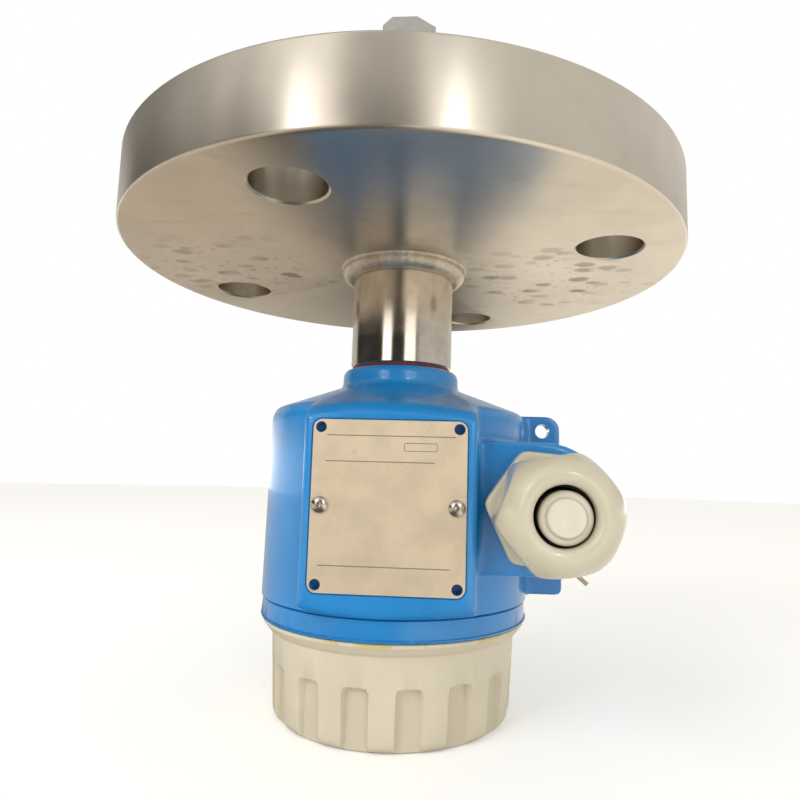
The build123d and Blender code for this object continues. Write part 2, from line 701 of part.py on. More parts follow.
def on_rear_entry(shape):
    return Pos(BOSS_X, BOSS_BACK, BOSS_Z) * Rot(-90, 0, 0) * shape


def blanking_plug():
    top = BLANK_SEAL_T + BLANK_HEAD_H
    head = disc(BLANK_HEAD_R, BLANK_SEAL_T, top)
    head = fillet([e for e in head.edges() if e.center().Z > top - 0.1], 1.0)
    body = head + disc(GLAND_THREAD_R, -GLAND_THREAD_LEN, 2)
    body -= prism(BLANK_SOCKET_AF, top - BLANK_SOCKET_DEPTH, top + 1)
    return on_rear_entry(body)


def blanking_plug_seal():
    return on_rear_entry(disc(BLANK_SEAL_R, 0, BLANK_SEAL_T, bore=GLAND_THREAD_R))


MODULE_END = INSERT_TOP - MODULE_H
BOARD_Z = INSERT_TOP - BOARD_DROP
LID_END = MODULE_END - LID_T


def insert_base():
    """The cup of the electronic insert, with two screw tubes and a socket over the neck."""
    body = disc(MODULE_R, MODULE_END, INSERT_TOP)
    body -= disc(MODULE_R - MODULE_WALL, MODULE_END - 1, INSERT_TOP - MODULE_WALL)
    for y in (-PILLAR_Y, PILLAR_Y):
        body += disc(EAR_R, MODULE_END, INSERT_TOP, y=y) & disc(MODULE_R, MODULE_END, INSERT_TOP)
        body -= disc(FIXING_R + 0.3, MODULE_END - 1, INSERT_TOP + 1, y=y)
    return body


def insert_socket():
    low = INSERT_TOP
    top = PLUG_TOP - PLUG_T - 0.6
    body = disc(NECK_BORE_R - 1.2, low, top)
    for x, y in lead_spots():
        body -= disc(PIN_R + 0.3, top - PLUG_PIN_LEN - 1, top + 1, x=x, y=y)
    ring = disc(LEAD_CIRCLE_R + PIN_R + 0.3, top - PLUG_PIN_LEN - 1, top + 1, bore=LEAD_CIRCLE_R - PIN_R - 0.3)
    return body - ring


def slider_slot(x):
    length = SLIDER_SLOT_L
    return Pos(x, SLIDER_Y, LID_END) * Box(SLIDER_W + 2 * SLIDING_GAP, length, 12)


def insert_lid():
    body = disc(MODULE_R, LID_END, MODULE_END)
    for y in (-PILLAR_Y, PILLAR_Y):
        body -= disc(FIXING_R + 0.3, LID_END - 1, MODULE_END + 1, y=y)
    for x in (-SLIDER_X, SLIDER_X):
        body -= slider_slot(x)
    for x in (-LED_X, LED_X):
        body -= disc(LED_R + 0.1, LID_END - 1, MODULE_END + 1, x=x, y=LED_Y)
    return body


def status_lights():
    lens = [disc(LED_R, LID_END - 1.0, MODULE_END + 2.0, x=x, y=LED_Y) for x in (-LED_X, LED_X)]
    return Compound(lens)


def slide_switch(x):
    """One slide switch: a foot under the lid and a finger through its slot, at the +Y end of its travel."""
    y = SLIDER_Y + SLIDER_TRAVEL / 2
    foot = Pos(x, y, MODULE_END + 1.2) * Box(SLIDER_W + 2.4, SLIDER_W + 1.4, 1.8)
    finger = Pos(x, y, MODULE_END - 1.2) * Box(SLIDER_W, SLIDER_W, 5.4)
    return foot + finger


def circuit_board():
    return disc(BOARD_R, BOARD_Z - BOARD_T / 2, BOARD_Z + BOARD_T / 2)


def board_components():
    low = BOARD_Z - BOARD_T / 2
    relay = Pos(-RELAY_L / 2, 2, low - RELAY_H / 2) * Box(RELAY_L, RELAY_W, RELAY_H)
    chip = Pos(CHIP_W / 2 + 3, 4, low - CHIP_H / 2) * Box(CHIP_W, CHIP_W, CHIP_H)
    cans = [disc(CAN_R, low - CAN_H, low, x=x, y=-9) for x in (-CAN_R - 0.3, CAN_R + 0.3)]
    return Compound([relay, chip, *cans])


def board_posts():
    return Compound([disc(1.6, BOARD_Z + BOARD_T / 2, INSERT_TOP - MODULE_WALL, x=x, y=y)
                     for x, y in spots(3, BOARD_R - 3, 30)])


TERMINAL_END = LID_END - TERMINAL_H


def terminal_places():
    first = -(TERMINAL_COUNT - 1) / 2 * TERMINAL_PITCH
    return [first + k * TERMINAL_PITCH for k in range(TERMINAL_COUNT)]


def terminal_block():
    body = Pos(0, TERMINAL_Y, (LID_END + TERMINAL_END) / 2) * Box(TERMINAL_L, TERMINAL_W, TERMINAL_H)
    well = TERMINAL_END + 1.5 + TERMINAL_SCREW_H
    for x in terminal_places():
        body -= disc(TERMINAL_SCREW_R + 0.2, TERMINAL_END - 1, well, x=x, y=TERMINAL_Y + 1)
        body -= Pos(x, TERMINAL_Y - TERMINAL_W / 2, TERMINAL_END + 2.4) * Box(3.4, 5, 3.0)
    return body


def terminal_screws():
    made = []
    for x in terminal_places():
        low = TERMINAL_END + 1.5
        screw = disc(TERMINAL_SCREW_R, low, low + TERMINAL_SCREW_H, x=x, y=TERMINAL_Y + 1)
        made.append(screw - Pos(x, TERMINAL_Y + 1, low) * Box(3 * TERMINAL_SCREW_R, 0.7, 1.6))
    return Compound(made)


def insert_screws():
    made = []
    for y in (-PILLAR_Y, PILLAR_Y):
        low = LID_END - FIXING_HEAD_H
        screw = disc(FIXING_HEAD_R, low, LID_END, y=y)
        screw += disc(FIXING_R - 0.1, LID_END - 0.1, INSERT_TOP + FIXING_BITE, y=y)
        made.append(screw - Pos(0, y, low) * (Box(4.4, 0.8, 2.2) + Box(0.8, 4.4, 2.2)))
    return Compound(made)


def all_parts():
    """Every sub-part by its node name."""
    made = {
        "flange": flange(),
        "neck_sleeve": neck_sleeve(),
        "retaining_ring": retaining_ring(),
        "neck_weld": neck_weld(),
        "face_weld": face_weld(),
        "sensor_tube": disc(TUBE_R, TUBE_BACK, TUBE_FRONT, bore=TUBE_R - TUBE_WALL),
        "tuning_fork": fork(),
        "fork_girth_weld": fork_girth_weld(),
        "sealing_plug": sealing_plug(),
        "contact_pins": contact_pins(),
        "sensor_leads": sensor_leads(),
        "neck_seal_ring": disc(SEAL_RING_R, NECK_END - SEAL_RING_T, NECK_END, bore=SPIGOT_R),
        "swivel_o_ring": swivel_o_ring(),
        "housing": housing(),
        "swivel_lock_screw": lock_screw(),
        "nameplate": nameplate(),
        "nameplate_pins": nameplate_pins(),
        "gland_body": gland_body(),
        "gland_seal_washer": gland_seal_washer(),
        "gland_seal_insert": gland_seal_insert(),
        "gland_nut": gland_nut(),
        "gland_cap": gland_cap(),
        "blanking_plug": blanking_plug(),
        "blanking_plug_seal": blanking_plug_seal(),
        "insert_base": insert_base(),
        "insert_socket": insert_socket(),
        "insert_lid": insert_lid(),
        "insert_screws": insert_screws(),
        "status_lights": status_lights(),
        "safety_switch": slide_switch(-SLIDER_X),
        "density_switch": slide_switch(SLIDER_X),
        "circuit_board": circuit_board(),
        "board_components": board_components(),
        "board_posts": board_posts(),
        "terminal_block": terminal_block(),
        "terminal_screws": terminal_screws(),
        "cover": cover(),
        "cover_seal": cover_seal(),
    }
    made.update(drive_stack())
    made.update(ground_terminal())
    return made


os.makedirs("parts", exist_ok=True)
for node, solid in all_parts().items():
    save(node, solid)
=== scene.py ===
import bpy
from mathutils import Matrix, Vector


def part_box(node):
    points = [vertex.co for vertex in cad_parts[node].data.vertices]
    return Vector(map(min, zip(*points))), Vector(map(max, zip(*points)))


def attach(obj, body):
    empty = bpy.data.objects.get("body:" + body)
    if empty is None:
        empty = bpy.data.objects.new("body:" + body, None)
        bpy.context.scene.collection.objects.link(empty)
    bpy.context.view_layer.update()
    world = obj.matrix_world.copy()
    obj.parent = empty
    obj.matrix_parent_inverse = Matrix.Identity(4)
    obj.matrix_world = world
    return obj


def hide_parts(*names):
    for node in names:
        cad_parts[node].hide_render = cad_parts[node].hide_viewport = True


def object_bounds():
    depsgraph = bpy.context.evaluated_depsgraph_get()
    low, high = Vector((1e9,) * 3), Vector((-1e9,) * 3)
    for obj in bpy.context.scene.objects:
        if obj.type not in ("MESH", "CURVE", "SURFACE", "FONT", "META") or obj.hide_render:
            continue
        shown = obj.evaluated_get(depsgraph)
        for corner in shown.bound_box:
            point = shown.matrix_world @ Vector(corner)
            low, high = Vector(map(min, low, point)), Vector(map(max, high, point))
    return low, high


bl_info = {
    "name": "Fork level switch",
    "version": (1, 0, 0),
    "blender": (4, 5, 0),
    "location": "3D View > Sidebar > Level switch",
    "description": "Finishes a flanged fork level switch in steel, gloss paint, plastic and rubber",
    "category": "Object",
}

from math import atan2, cos, hypot, pi, radians, sin, tan

import bmesh
import bpy
from bpy.props import FloatProperty, FloatVectorProperty, IntProperty, PointerProperty
from mathutils import Matrix, Vector, noise

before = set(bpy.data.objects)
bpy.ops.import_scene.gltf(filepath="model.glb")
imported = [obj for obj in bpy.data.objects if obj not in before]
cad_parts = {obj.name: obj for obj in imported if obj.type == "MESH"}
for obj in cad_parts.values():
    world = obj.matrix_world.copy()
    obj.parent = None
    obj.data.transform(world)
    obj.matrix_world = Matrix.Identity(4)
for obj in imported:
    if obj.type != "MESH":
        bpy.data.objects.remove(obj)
CAD_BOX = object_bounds()

MM = 0.001
FLANGE_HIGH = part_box("flange")[1]
HOUSING_LOW, HOUSING_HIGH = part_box("housing")
NECK_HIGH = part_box("neck_sleeve")[1]
WELD_LOW, WELD_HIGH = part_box("neck_weld")
RING_LOW, RING_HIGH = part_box("neck_seal_ring")
PLATE_LOW, PLATE_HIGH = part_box("nameplate")
PINS_LOW, PINS_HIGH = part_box("nameplate_pins")
COVER_LOW, COVER_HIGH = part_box("cover")
SEAL_LOW, SEAL_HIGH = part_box("cover_seal")
NUT_LOW, NUT_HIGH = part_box("gland_nut")
GLAND_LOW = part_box("gland_body")[0]
WASHER_LOW, WASHER_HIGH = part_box("gland_seal_washer")
CAP_LOW, CAP_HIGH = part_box("gland_cap")


def middle(low, high):
    """The centre of a box."""
    return (Vector(low) + Vector(high)) / 2


GLAND_AXIS = middle(WASHER_LOW, WASHER_HIGH)
BOSS_FACE = WASHER_HIGH[1]
PLATE_CENTRE = middle(PLATE_LOW, PLATE_HIGH)
PIN_REACH = (PINS_HIGH[0] - PINS_LOW[0]) / 2
# Inner radii along the sensor tube: the flange, the neck's seal and the housing.
TUBE_R = 10.65 * MM
SEAL_R = 12.0 * MM
BORE_R = 12.1 * MM


class SwitchSizes(bpy.types.PropertyGroup):
    """Sizes that shape the pieces made here."""

    bolt_circle: FloatProperty(
        name="Bolt circle", description="Radius of the ring of bolt holes", default=62.5 * MM, unit="LENGTH")
    bolt_hole: FloatProperty(
        name="Bolt hole", description="Radius of each bolt hole", default=9.0 * MM, unit="LENGTH")
    first_bolt: FloatProperty(
        name="First bolt", description="Angle of the first hole", default=radians(-109.7), subtype="ANGLE")
    ripple: FloatProperty(
        name="Weld ripple", description="Height of the weld's ripples", default=0.10 * MM, unit="LENGTH")
    casting_voxel: FloatProperty(
        name="Casting grid", description="Grid that fuses the casting", default=0.68 * MM, unit="LENGTH")
    casting_rounds: IntProperty(
        name="Casting rounds", description="Smoothing passes that round the casting's edges", default=6)
    flutes: IntProperty(name="Flutes", description="Grip flutes round the screw cover", default=16)
    flute_width: FloatProperty(
        name="Flute width", description="Width of one grip flute", default=6.4 * MM, unit="LENGTH")
    flute_depth: FloatProperty(
        name="Flute depth", description="Depth of a flute at the foot", default=1.5 * MM, unit="LENGTH")
    flute_length: FloatProperty(
        name="Flute length", description="Height of a flute above the foot", default=15.3 * MM, unit="LENGTH")
    first_flute: FloatProperty(
        name="First flute", description="Angle of the first flute", default=radians(-77.0), subtype="ANGLE")


class SwitchColours(bpy.types.PropertyGroup):
    """Colours of the finishes."""

    paint: FloatVectorProperty(
        name="Paint", description="Gloss paint on the housing", subtype="COLOR", default=(0.010, 0.235, 0.60))
    steel: FloatVectorProperty(
        name="Steel", description="Turned stainless steel", subtype="COLOR", default=(0.60, 0.55, 0.48))
    plate: FloatVectorProperty(
        name="Plate", description="Brushed nameplate", subtype="COLOR", default=(0.72, 0.60, 0.44))
    cover: FloatVectorProperty(
        name="Cover", description="Moulded screw cover", subtype="COLOR", default=(0.70, 0.635, 0.49))
    gland: FloatVectorProperty(
        name="Gland", description="Glossy plastic of the gland", subtype="COLOR", default=(0.59, 0.54, 0.41))
    seal: FloatVectorProperty(
        name="Seal", description="Dark red seal under the neck", subtype="COLOR", default=(0.17, 0.02, 0.012))


class StudioSettings(bpy.types.PropertyGroup):
    """Where the camera stands and how bright the lights are."""

    place: FloatVectorProperty(
        name="Camera place", description="Where the camera stands", subtype="TRANSLATION",
        default=(18.3 * MM, -190.0 * MM, -63.7 * MM))
    yaw: FloatProperty(name="Yaw", description="Turn of the view from +Y", default=-0.068, subtype="ANGLE")
    pitch: FloatProperty(name="Pitch", description="Upward tilt of the view", default=0.118, subtype="ANGLE")
    roll: FloatProperty(name="Roll", description="Turn about the view's axis", default=0.027, subtype="ANGLE")
    lens: FloatProperty(name="Lens", description="Focal length on a 36 mm sensor", default=27.98)
    shift_x: FloatProperty(name="Shift X", description="Sideways shift of the frame", default=-0.0219)
    shift_y: FloatProperty(name="Shift Y", description="Upward shift of the frame", default=0.0016)
    daylight: FloatProperty(name="Daylight", description="Strength of the surroundings", default=0.75)
    key: FloatProperty(name="Key", description="Power of the window light in watts", default=3.5)
    fill: FloatProperty(name="Fill", description="Power of the fill light in watts", default=0.6)
    lamp: FloatProperty(name="Lamp", description="Power of each small lamp in watts", default=0.15)


# Socket numbers of a Mix node that mixes colours.
MIX_FACTOR = 0
MIX_FIRST = 6
MIX_SECOND = 7
MIX_RESULT = 2


class Wire:
    """A socket in a material, which sums, products and comparisons can use."""

    def __init__(self, shop, socket):
        self.shop = shop
        self.socket = socket

    def maths(self, operation, *values):
        """A Math node on these values."""
        return self.shop.node("ShaderNodeMath", {"operation": operation}, dict(enumerate(values)))

    def __add__(self, other):
        return self.maths("ADD", self, other)

    __radd__ = __add__

    def __sub__(self, other):
        return self.maths("SUBTRACT", self, other)

    def __rsub__(self, other):
        return self.maths("SUBTRACT", other, self)

    def __mul__(self, other):
        return self.maths("MULTIPLY", self, other)

    __rmul__ = __mul__

    def __pow__(self, other):
        return self.maths("POWER", self, other)

    def __rpow__(self, other):
        return self.maths("POWER", other, self)

    def __abs__(self):
        return self.maths("ABSOLUTE", self)

    def highest(self, other):
        """The larger of the two."""
        return self.maths("MAXIMUM", self, other)

    def band(self, low, high):
        """0 below low, 1 above high and a smooth step between them; it falls where low is the larger."""
        settings = {"interpolation_type": "SMOOTHSTEP"}
        inputs = {"Value": self, "From Min": min(low, high), "From Max": max(low, high)}
        step = self.shop.node("ShaderNodeMapRange", settings, inputs)
        return step if low < high else 1 - step


class Shop:
    """Makes one material, or the surroundings: its nodes, patterns and shader."""

    def __init__(self, made):
        self.made = made
        made.use_nodes = True
        self.tree = made.node_tree
        self.tree.nodes.clear()

    def node(self, kind, settings, inputs, output=0):
        """A node of this kind, its settings made first, then the values or links of its sockets."""
        made = self.tree.nodes.new(kind)
        for name, value in settings.items():
            setattr(made, name, value)
        for name, value in inputs.items():
            if isinstance(value, Wire):
                self.tree.links.new(value.socket, made.inputs[name])
            else:
                made.inputs[name].default_value = value
        return Wire(self, made.outputs[output])

    def place(self):
        """The point on the piece, in millimetres in the part's frame, as a vector."""
        coordinates = self.node("ShaderNodeTexCoord", {}, {}, "Object")
        return self.node("ShaderNodeVectorMath", {"operation": "SCALE"}, {0: coordinates, "Scale": 1 / MM})

    def parts(self, vector):
        """The x, y and z of a vector."""
        made = self.node("ShaderNodeSeparateXYZ", {}, {0: vector})
        return [Wire(self, socket) for socket in made.socket.node.outputs]

    def stretch(self, vector, x, y, z):
        """A vector with each of its parts multiplied."""
        return self.node("ShaderNodeVectorMath", {"operation": "MULTIPLY"}, {0: vector, 1: (x, y, z)})

    def join(self, x, y, z):
        """A vector from three values."""
        return self.node("ShaderNodeCombineXYZ", {}, {0: x, 1: y, 2: z})

    def clouds(self, vector, scale, detail=2.0, roughness=0.5):
        """Soft noise from 0 to 1."""
        inputs = {"Vector": vector, "Scale": scale, "Detail": detail, "Roughness": roughness}
        return self.node("ShaderNodeTexNoise", {}, inputs)

    def cells(self, vector, scale):
        """Distance to the nearest of a field of scattered points."""
        return self.node("ShaderNodeTexVoronoi", {}, {"Vector": vector, "Scale": scale}, "Distance")

    def blend(self, factor, first, second):
        """A mix of two colours."""
        inputs = {MIX_FACTOR: factor, MIX_FIRST: first, MIX_SECOND: second}
        return self.node("ShaderNodeMix", {"data_type": "RGBA"}, inputs, MIX_RESULT)

    def bump(self, height, distance, strength):
        """A normal for small relief; height runs from 0 to 1 over the distance."""
        return self.node("ShaderNodeBump", {}, {"Height": height, "Distance": distance, "Strength": strength})

    def finish(self, **sockets):
        """Ends the material in a shader with these sockets, named with underscores."""
        inputs = {name.replace("_", " "): value for name, value in sockets.items()}
        self.end(self.node("ShaderNodeBsdfPrincipled", {}, inputs), "ShaderNodeOutputMaterial")
        return self.made

    def end(self, shader, kind):
        """Links a shader to an output node."""
        output = self.tree.nodes.new(kind)
        self.tree.links.new(shader.socket, output.inputs["Surface"])

    def ray(self, kind):
        """1 for rays of this kind, such as Is Camera Ray."""
        return self.node("ShaderNodeLightPath", {}, {}, kind)


def begun(name):
    """A new material's shop, and the point on the piece."""
    shop = Shop(bpy.data.materials.new(name))
    return shop, shop.place()


def rgba(colour, gain=1.0):
    """A colour property as four numbers."""
    return (colour[0] * gain, colour[1] * gain, colour[2] * gain, 1.0)


def sizes():
    """The sizes that a user may change."""
    return bpy.context.scene.switch_sizes


def colours():
    """The colours that a user may change."""
    return bpy.context.scene.switch_colours


STAIN = (0.115, 0.105, 0.085, 1.0)
# A quarter turn, which stretches highlights across the turning grooves.
ACROSS_GROOVES = 0.25


def near(x, y, centre_x, centre_y, reach):
    """1 at a spot on the flange, fading to 0 at a distance, in millimetres."""
    away = ((x - centre_x) ** 2.0 + (y - centre_y) ** 2.0) ** 0.5
    return away.band(reach, reach * 0.3)


def turned_steel():
    """Stainless steel with fine turning lines, and grey oval stains in patches on the back face."""
    shop, place = begun("turned_steel")
    x, y, z = shop.parts(place)
    radius = (x * x + y * y) ** 0.5
    lines = shop.clouds(shop.join(radius, z, 0.0), 5.0, 3.0, 0.7)
    haze = shop.clouds(place, 0.035, 3.0, 0.6)
    wobble = shop.clouds(place, 0.45, 3.0, 0.6)
    grit = shop.clouds(place, 2.5, 3.0, 0.7)
    back = z.band(0.6, 0.0)
    patch = near(x, y, -50.0, 0.0, 42.0).highest(near(x, y, 46.0, 10.0, 44.0))
    patch = patch * (0.45 + shop.clouds(place, 0.06).band(0.42, 0.60) * 0.55)
    large = (shop.cells(shop.stretch(place, 0.8, 1.2, 1.0), 0.13) + wobble * 0.34).band(0.56, 0.40)
    small = (shop.cells(place, 0.33) + wobble * 0.4).band(0.50, 0.34)
    stain = (large * 0.62).highest(small * 0.38) * patch * back * (0.5 + grit * 0.7)
    smudge = shop.clouds(shop.stretch(place, 0.5, 1.3, 1.0), 0.11, 4.0, 0.6)
    smudge = smudge.band(0.56, 0.75) * back * 0.16
    flecks = (shop.cells(place, 0.7) + grit * 0.05).band(0.07, 0.03) * back * 0.5
    steel = colours().steel
    base = shop.blend(haze.band(0.3, 0.7), rgba(steel, 0.92), rgba(steel, 1.08))
    base = shop.blend(stain.highest(smudge).highest(flecks), base, STAIN)
    rough = 0.25 + haze * 0.08 + stain * 0.25 + lines * 0.05
    relief = shop.bump(lines, 0.004 * MM, 0.6)
    return shop.finish(
        Base_Color=base, Metallic=1.0, Roughness=rough, Normal=relief, Anisotropic=0.7,
        Anisotropic_Rotation=ACROSS_GROOVES)


def polished_steel():
    """The neck: ground stainless steel, mirror-like at its lower end."""
    shop, place = begun("polished_steel")
    z = shop.parts(place)[2]
    lines = shop.clouds(shop.stretch(place, 0.15, 0.15, 6.0), 1.0, 3.0, 0.7)
    smear = shop.clouds(place, 0.16, 3.0, 0.6)
    low_band = z.band(-22.0, -24.5)
    steel = colours().steel
    base = shop.blend(smear.band(0.35, 0.7), rgba(steel, 0.98), rgba(steel, 1.15))
    rough = 0.12 + smear * 0.08 + lines * 0.04 - low_band * 0.06
    return shop.finish(
        Base_Color=base, Metallic=1.0, Roughness=rough, Normal=shop.bump(lines, 0.002 * MM, 0.4),
        Anisotropic=0.3, Anisotropic_Rotation=ACROSS_GROOVES)


def weld_steel():
    """A frosted weld bead with straw tints."""
    shop, place = begun("weld_steel")
    grain = shop.clouds(place, 1.6, 4.0, 0.7)
    tint = shop.clouds(place, 0.14)
    base = shop.blend(tint.band(0.35, 0.65), (0.52, 0.49, 0.43, 1.0), (0.42, 0.35, 0.26, 1.0))
    base = shop.blend(grain.band(0.45, 0.8), base, (0.70, 0.68, 0.62, 1.0))
    return shop.finish(
        Base_Color=base, Metallic=0.9, Roughness=0.36 + grain * 0.22, Normal=shop.bump(grain, 0.05 * MM, 0.7))


def plain_steel(name, tone, rough, scale=1.2):
    """Small steel parts: one tone with faint mottling."""
    shop, place = begun(name)
    mottle = shop.clouds(place, scale, 3.0, 0.6)
    base = shop.blend(mottle, rgba(tone, 0.85), rgba(tone, 1.1))
    relief = shop.bump(mottle, 0.01 * MM, 0.5)
    return shop.finish(Base_Color=base, Metallic=1.0, Roughness=rough + mottle * 0.12, Normal=relief)


def gloss_paint():
    """Gloss powder paint with a soft orange peel, dust nibs and a few pale chips."""
    shop, place = begun("gloss_paint")
    peel = shop.clouds(place, 0.55, 2.0, 0.4)
    shade = shop.clouds(place, 0.05)
    nibs = (shop.cells(place, 0.21) + shop.clouds(place, 1.3) * 0.03).band(0.060, 0.030)
    chips = shop.cells(shop.stretch(place, 1.0, 1.0, 1.3), 0.10) + shop.clouds(place, 2.0) * 0.03
    chips = chips.band(0.032, 0.018)
    paint = colours().paint
    base = shop.blend(shade.band(0.3, 0.7), rgba(paint, 0.93), rgba(paint, 1.07))
    base = shop.blend(nibs * 0.6, base, (0.02, 0.06, 0.12, 1.0))
    base = shop.blend(chips * 0.8, base, (0.55, 0.62, 0.66, 1.0))
    relief = shop.bump(peel + nibs * 0.3 - chips * 0.4, 0.05 * MM, 0.5)
    return shop.finish(
        Base_Color=base, Roughness=0.24 + shade * 0.08 + chips * 0.3, Normal=relief, Coat_Weight=0.5,
        Coat_Roughness=0.06, Specular_IOR_Level=0.5)


def plate_rule(x, z, start, end, height):
    """A thin printed line across the plate at a height."""
    across = abs(z - height).band(0.15, 0.09)
    return across * x.band(start - 0.1, start + 0.1) * x.band(end + 0.1, end - 0.1)


def plate_steel():
    """The nameplate: matt fine-grained steel with three printed rules, a blank field, scratches and grime."""
    shop, place = begun("plate_steel")
    centre = PLATE_CENTRE / MM
    x, y, z = shop.parts(place)
    x = x - centre.x
    z = z - centre.z
    rules = plate_rule(x, z, -15.5, 16.0, 16.9)
    rules = rules.highest(plate_rule(x, z, -15.5, 11.0, 10.6))
    rules = rules.highest(plate_rule(x, z, -16.5, 15.0, -14.3))
    across = abs(x - 7.6) - 3.5
    along = abs(z - 14.3) - 0.45
    field = (across.highest(0.0) ** 2.0 + along.highest(0.0) ** 2.0) ** 0.5
    field = abs(field - 0.5).band(0.13, 0.05)
    rules = rules.highest(field)
    grain = shop.clouds(shop.stretch(place, 1.0, 1.0, 0.4), 3.0, 3.0, 0.7)
    mottle = shop.clouds(place, 0.13, 3.0, 0.6)
    slanted = shop.join(x * 0.75 - z * 0.66, x * 0.066 + z * 0.075, 0.0)
    scratch = abs(shop.clouds(slanted, 1.4, 1.0, 0.3) - 0.5).band(0.008, 0.0)
    scratch = scratch * shop.clouds(place, 0.12).band(0.52, 0.62)
    grime = (shop.cells(place, 0.55) + grain * 0.06).band(0.12, 0.06)
    grime = grime * shop.clouds(place, 0.2).band(0.45, 0.6)
    plate = colours().plate
    base = shop.blend(mottle.band(0.3, 0.7), rgba(plate, 0.93), rgba(plate, 1.06))
    base = shop.blend(grain * 0.25, base, rgba(plate, 1.2))
    base = shop.blend((scratch * 0.35).highest(grime * 0.5), base, (0.20, 0.16, 0.11, 1.0))
    base = shop.blend(rules * 0.75, base, (0.10, 0.08, 0.055, 1.0))
    pin_x = PIN_REACH / MM - 1.9
    away = ((x - pin_x) ** 2.0 + z ** 2.0) ** 0.5
    swell = away.band(9.0, 1.5)
    relief = shop.bump(grain, 0.012 * MM, 0.5)
    made = shop.node("ShaderNodeBump", {}, {"Height": swell, "Distance": 0.35 * MM, "Normal": relief})
    rough = 0.40 + mottle * 0.1 + rules * 0.2
    return shop.finish(Base_Color=base, Metallic=0.45, Roughness=rough, Normal=made)


def moulded_plastic(name, tone, rough, coat, speck):
    """Moulded plastic: soft colour shifts, fine texture, specks of dirt and a thin gloss."""
    shop, place = begun(name)
    shade = shop.clouds(place, 0.06, 3.0, 0.55)
    skin = shop.clouds(place, 2.2)
    waves = shop.clouds(place, 0.25, 2.0, 0.4)
    specks = (shop.cells(place, 0.30) + skin * 0.05).band(0.075, 0.04)
    base = shop.blend(shade.band(0.3, 0.7), rgba(tone, 0.95), rgba(tone, 1.04))
    base = shop.blend(specks * speck, base, (0.22, 0.17, 0.11, 1.0))
    relief = shop.bump(skin * 0.3 + waves, 0.03 * MM, 0.5)
    return shop.finish(
        Base_Color=base, Roughness=rough + shade * 0.08 + specks * 0.2, Normal=relief, Coat_Weight=coat,
        Coat_Roughness=0.15)


def cover_plastic():
    """The cover's beige plastic, with old grease along its top edge, and darker on the flute floors."""
    shop, place = begun("cover_plastic")
    x, y, z = shop.parts(place)
    shade = shop.clouds(place, 0.05, 3.0, 0.55)
    skin = shop.clouds(place, 1.8, 3.0, 0.55)
    flow = shop.clouds(shop.stretch(place, 1.0, 1.0, 0.25), 0.22, 3.0, 0.6)
    radius = (x * x + y * y) ** 0.5
    foot = COVER_LOW[2] / MM
    lip = SEAL_LOW[2] / MM
    # Darker on the flute floors, low down inside the recessed flutes.
    groove = radius.band(33.6, 32.6) * z.band(foot + 16.5, foot + 12.0)
    grease = z.band(lip - 1.7, lip - 0.2) * flow.band(0.42, 0.62) * x.band(-26.0, -12.0)
    specks = (shop.cells(place, 0.26) + skin * 0.05).band(0.070, 0.035)
    tone = colours().cover
    base = shop.blend(shade.band(0.3, 0.7), rgba(tone, 0.95), rgba(tone, 1.05))
    base = shop.blend(flow.band(0.55, 0.8) * 0.25, base, rgba((0.62, 0.50, 0.33)))
    base = shop.blend(groove * 0.18, base, rgba((0.42, 0.36, 0.26)))
    base = shop.blend(grease * 0.75, base, rgba((0.62, 0.47, 0.12)))
    base = shop.blend(specks * 0.5, base, rgba((0.20, 0.15, 0.10)))
    return shop.finish(
        Base_Color=base, Roughness=0.40 + shade * 0.1 - grease * 0.1, Normal=shop.bump(skin, 0.05 * MM, 0.45),
        Coat_Weight=0.12, Coat_Roughness=0.25)


def rubber(name, tone):
    """Sealing rubber with a dull bloom."""
    shop, place = begun(name)
    bloom = shop.clouds(place, 0.8, 3.0, 0.6)
    base = shop.blend(bloom, rgba(tone, 0.8), rgba(tone, 1.5))
    return shop.finish(Base_Color=base, Roughness=0.5 + bloom * 0.2, Normal=shop.bump(bloom, 0.03 * MM, 0.5))


def board_laminate():
    """Circuit board under green solder resist, with paler tracks."""
    shop, place = begun("board_laminate")
    tracks = shop.node("ShaderNodeTexBrick", {}, {"Vector": place, "Scale": 0.35, "Mortar Size": 0.03}, 1)
    base = shop.blend(tracks, (0.015, 0.10, 0.035, 1.0), (0.05, 0.24, 0.09, 1.0))
    return shop.finish(Base_Color=base, Roughness=0.32, Coat_Weight=0.3)


def lens_plastic():
    """Clear red lenses of the status lights."""
    shop, place = begun("lens_plastic")
    depth = shop.clouds(place, 0.9)
    base = shop.blend(depth, (0.42, 0.02, 0.015, 1.0), (0.75, 0.08, 0.05, 1.0))
    return shop.finish(Base_Color=base, Roughness=0.12, Coat_Weight=0.6)


def rounded(corners, steps=6):
    """A closed outline from (x, y, corner radius) points, each corner with a radius turned into an arc."""
    outline = []
    for index, (x, y, radius) in enumerate(corners):
        here = Vector((x, y))
        if not radius:
            outline.append((x, y))
            continue
        following = corners[(index + 1) % len(corners)]
        before = (Vector(corners[index - 1][:2]) - here).normalized()
        after = (Vector(following[:2]) - here).normalized()
        half = before.angle(after) / 2
        first = here + before * radius / tan(half)
        last = here + after * radius / tan(half)
        centre = here + (before + after).normalized() * radius / sin(half)
        start = atan2(first.y - centre.y, first.x - centre.x)
        end = atan2(last.y - centre.y, last.x - centre.x)
        sweep = (end - start + pi) % (2 * pi) - pi
        for step in range(steps + 1):
            angle = start + sweep * step / steps
            outline.append((centre.x + radius * cos(angle), centre.y + radius * sin(angle)))
    return outline


def divided(outline, longest):
    """An outline with points added so that no side is longer than this."""
    made = []
    for index, point in enumerate(outline):
        following = outline[(index + 1) % len(outline)]
        length = hypot(following[0] - point[0], following[1] - point[1])
        count = max(1, round(length / longest + 0.49))
        for step in range(count):
            part = step / count
            across = (following[0] - point[0]) * part
            made.append((point[0] + across, point[1] + (following[1] - point[1]) * part))
    return made


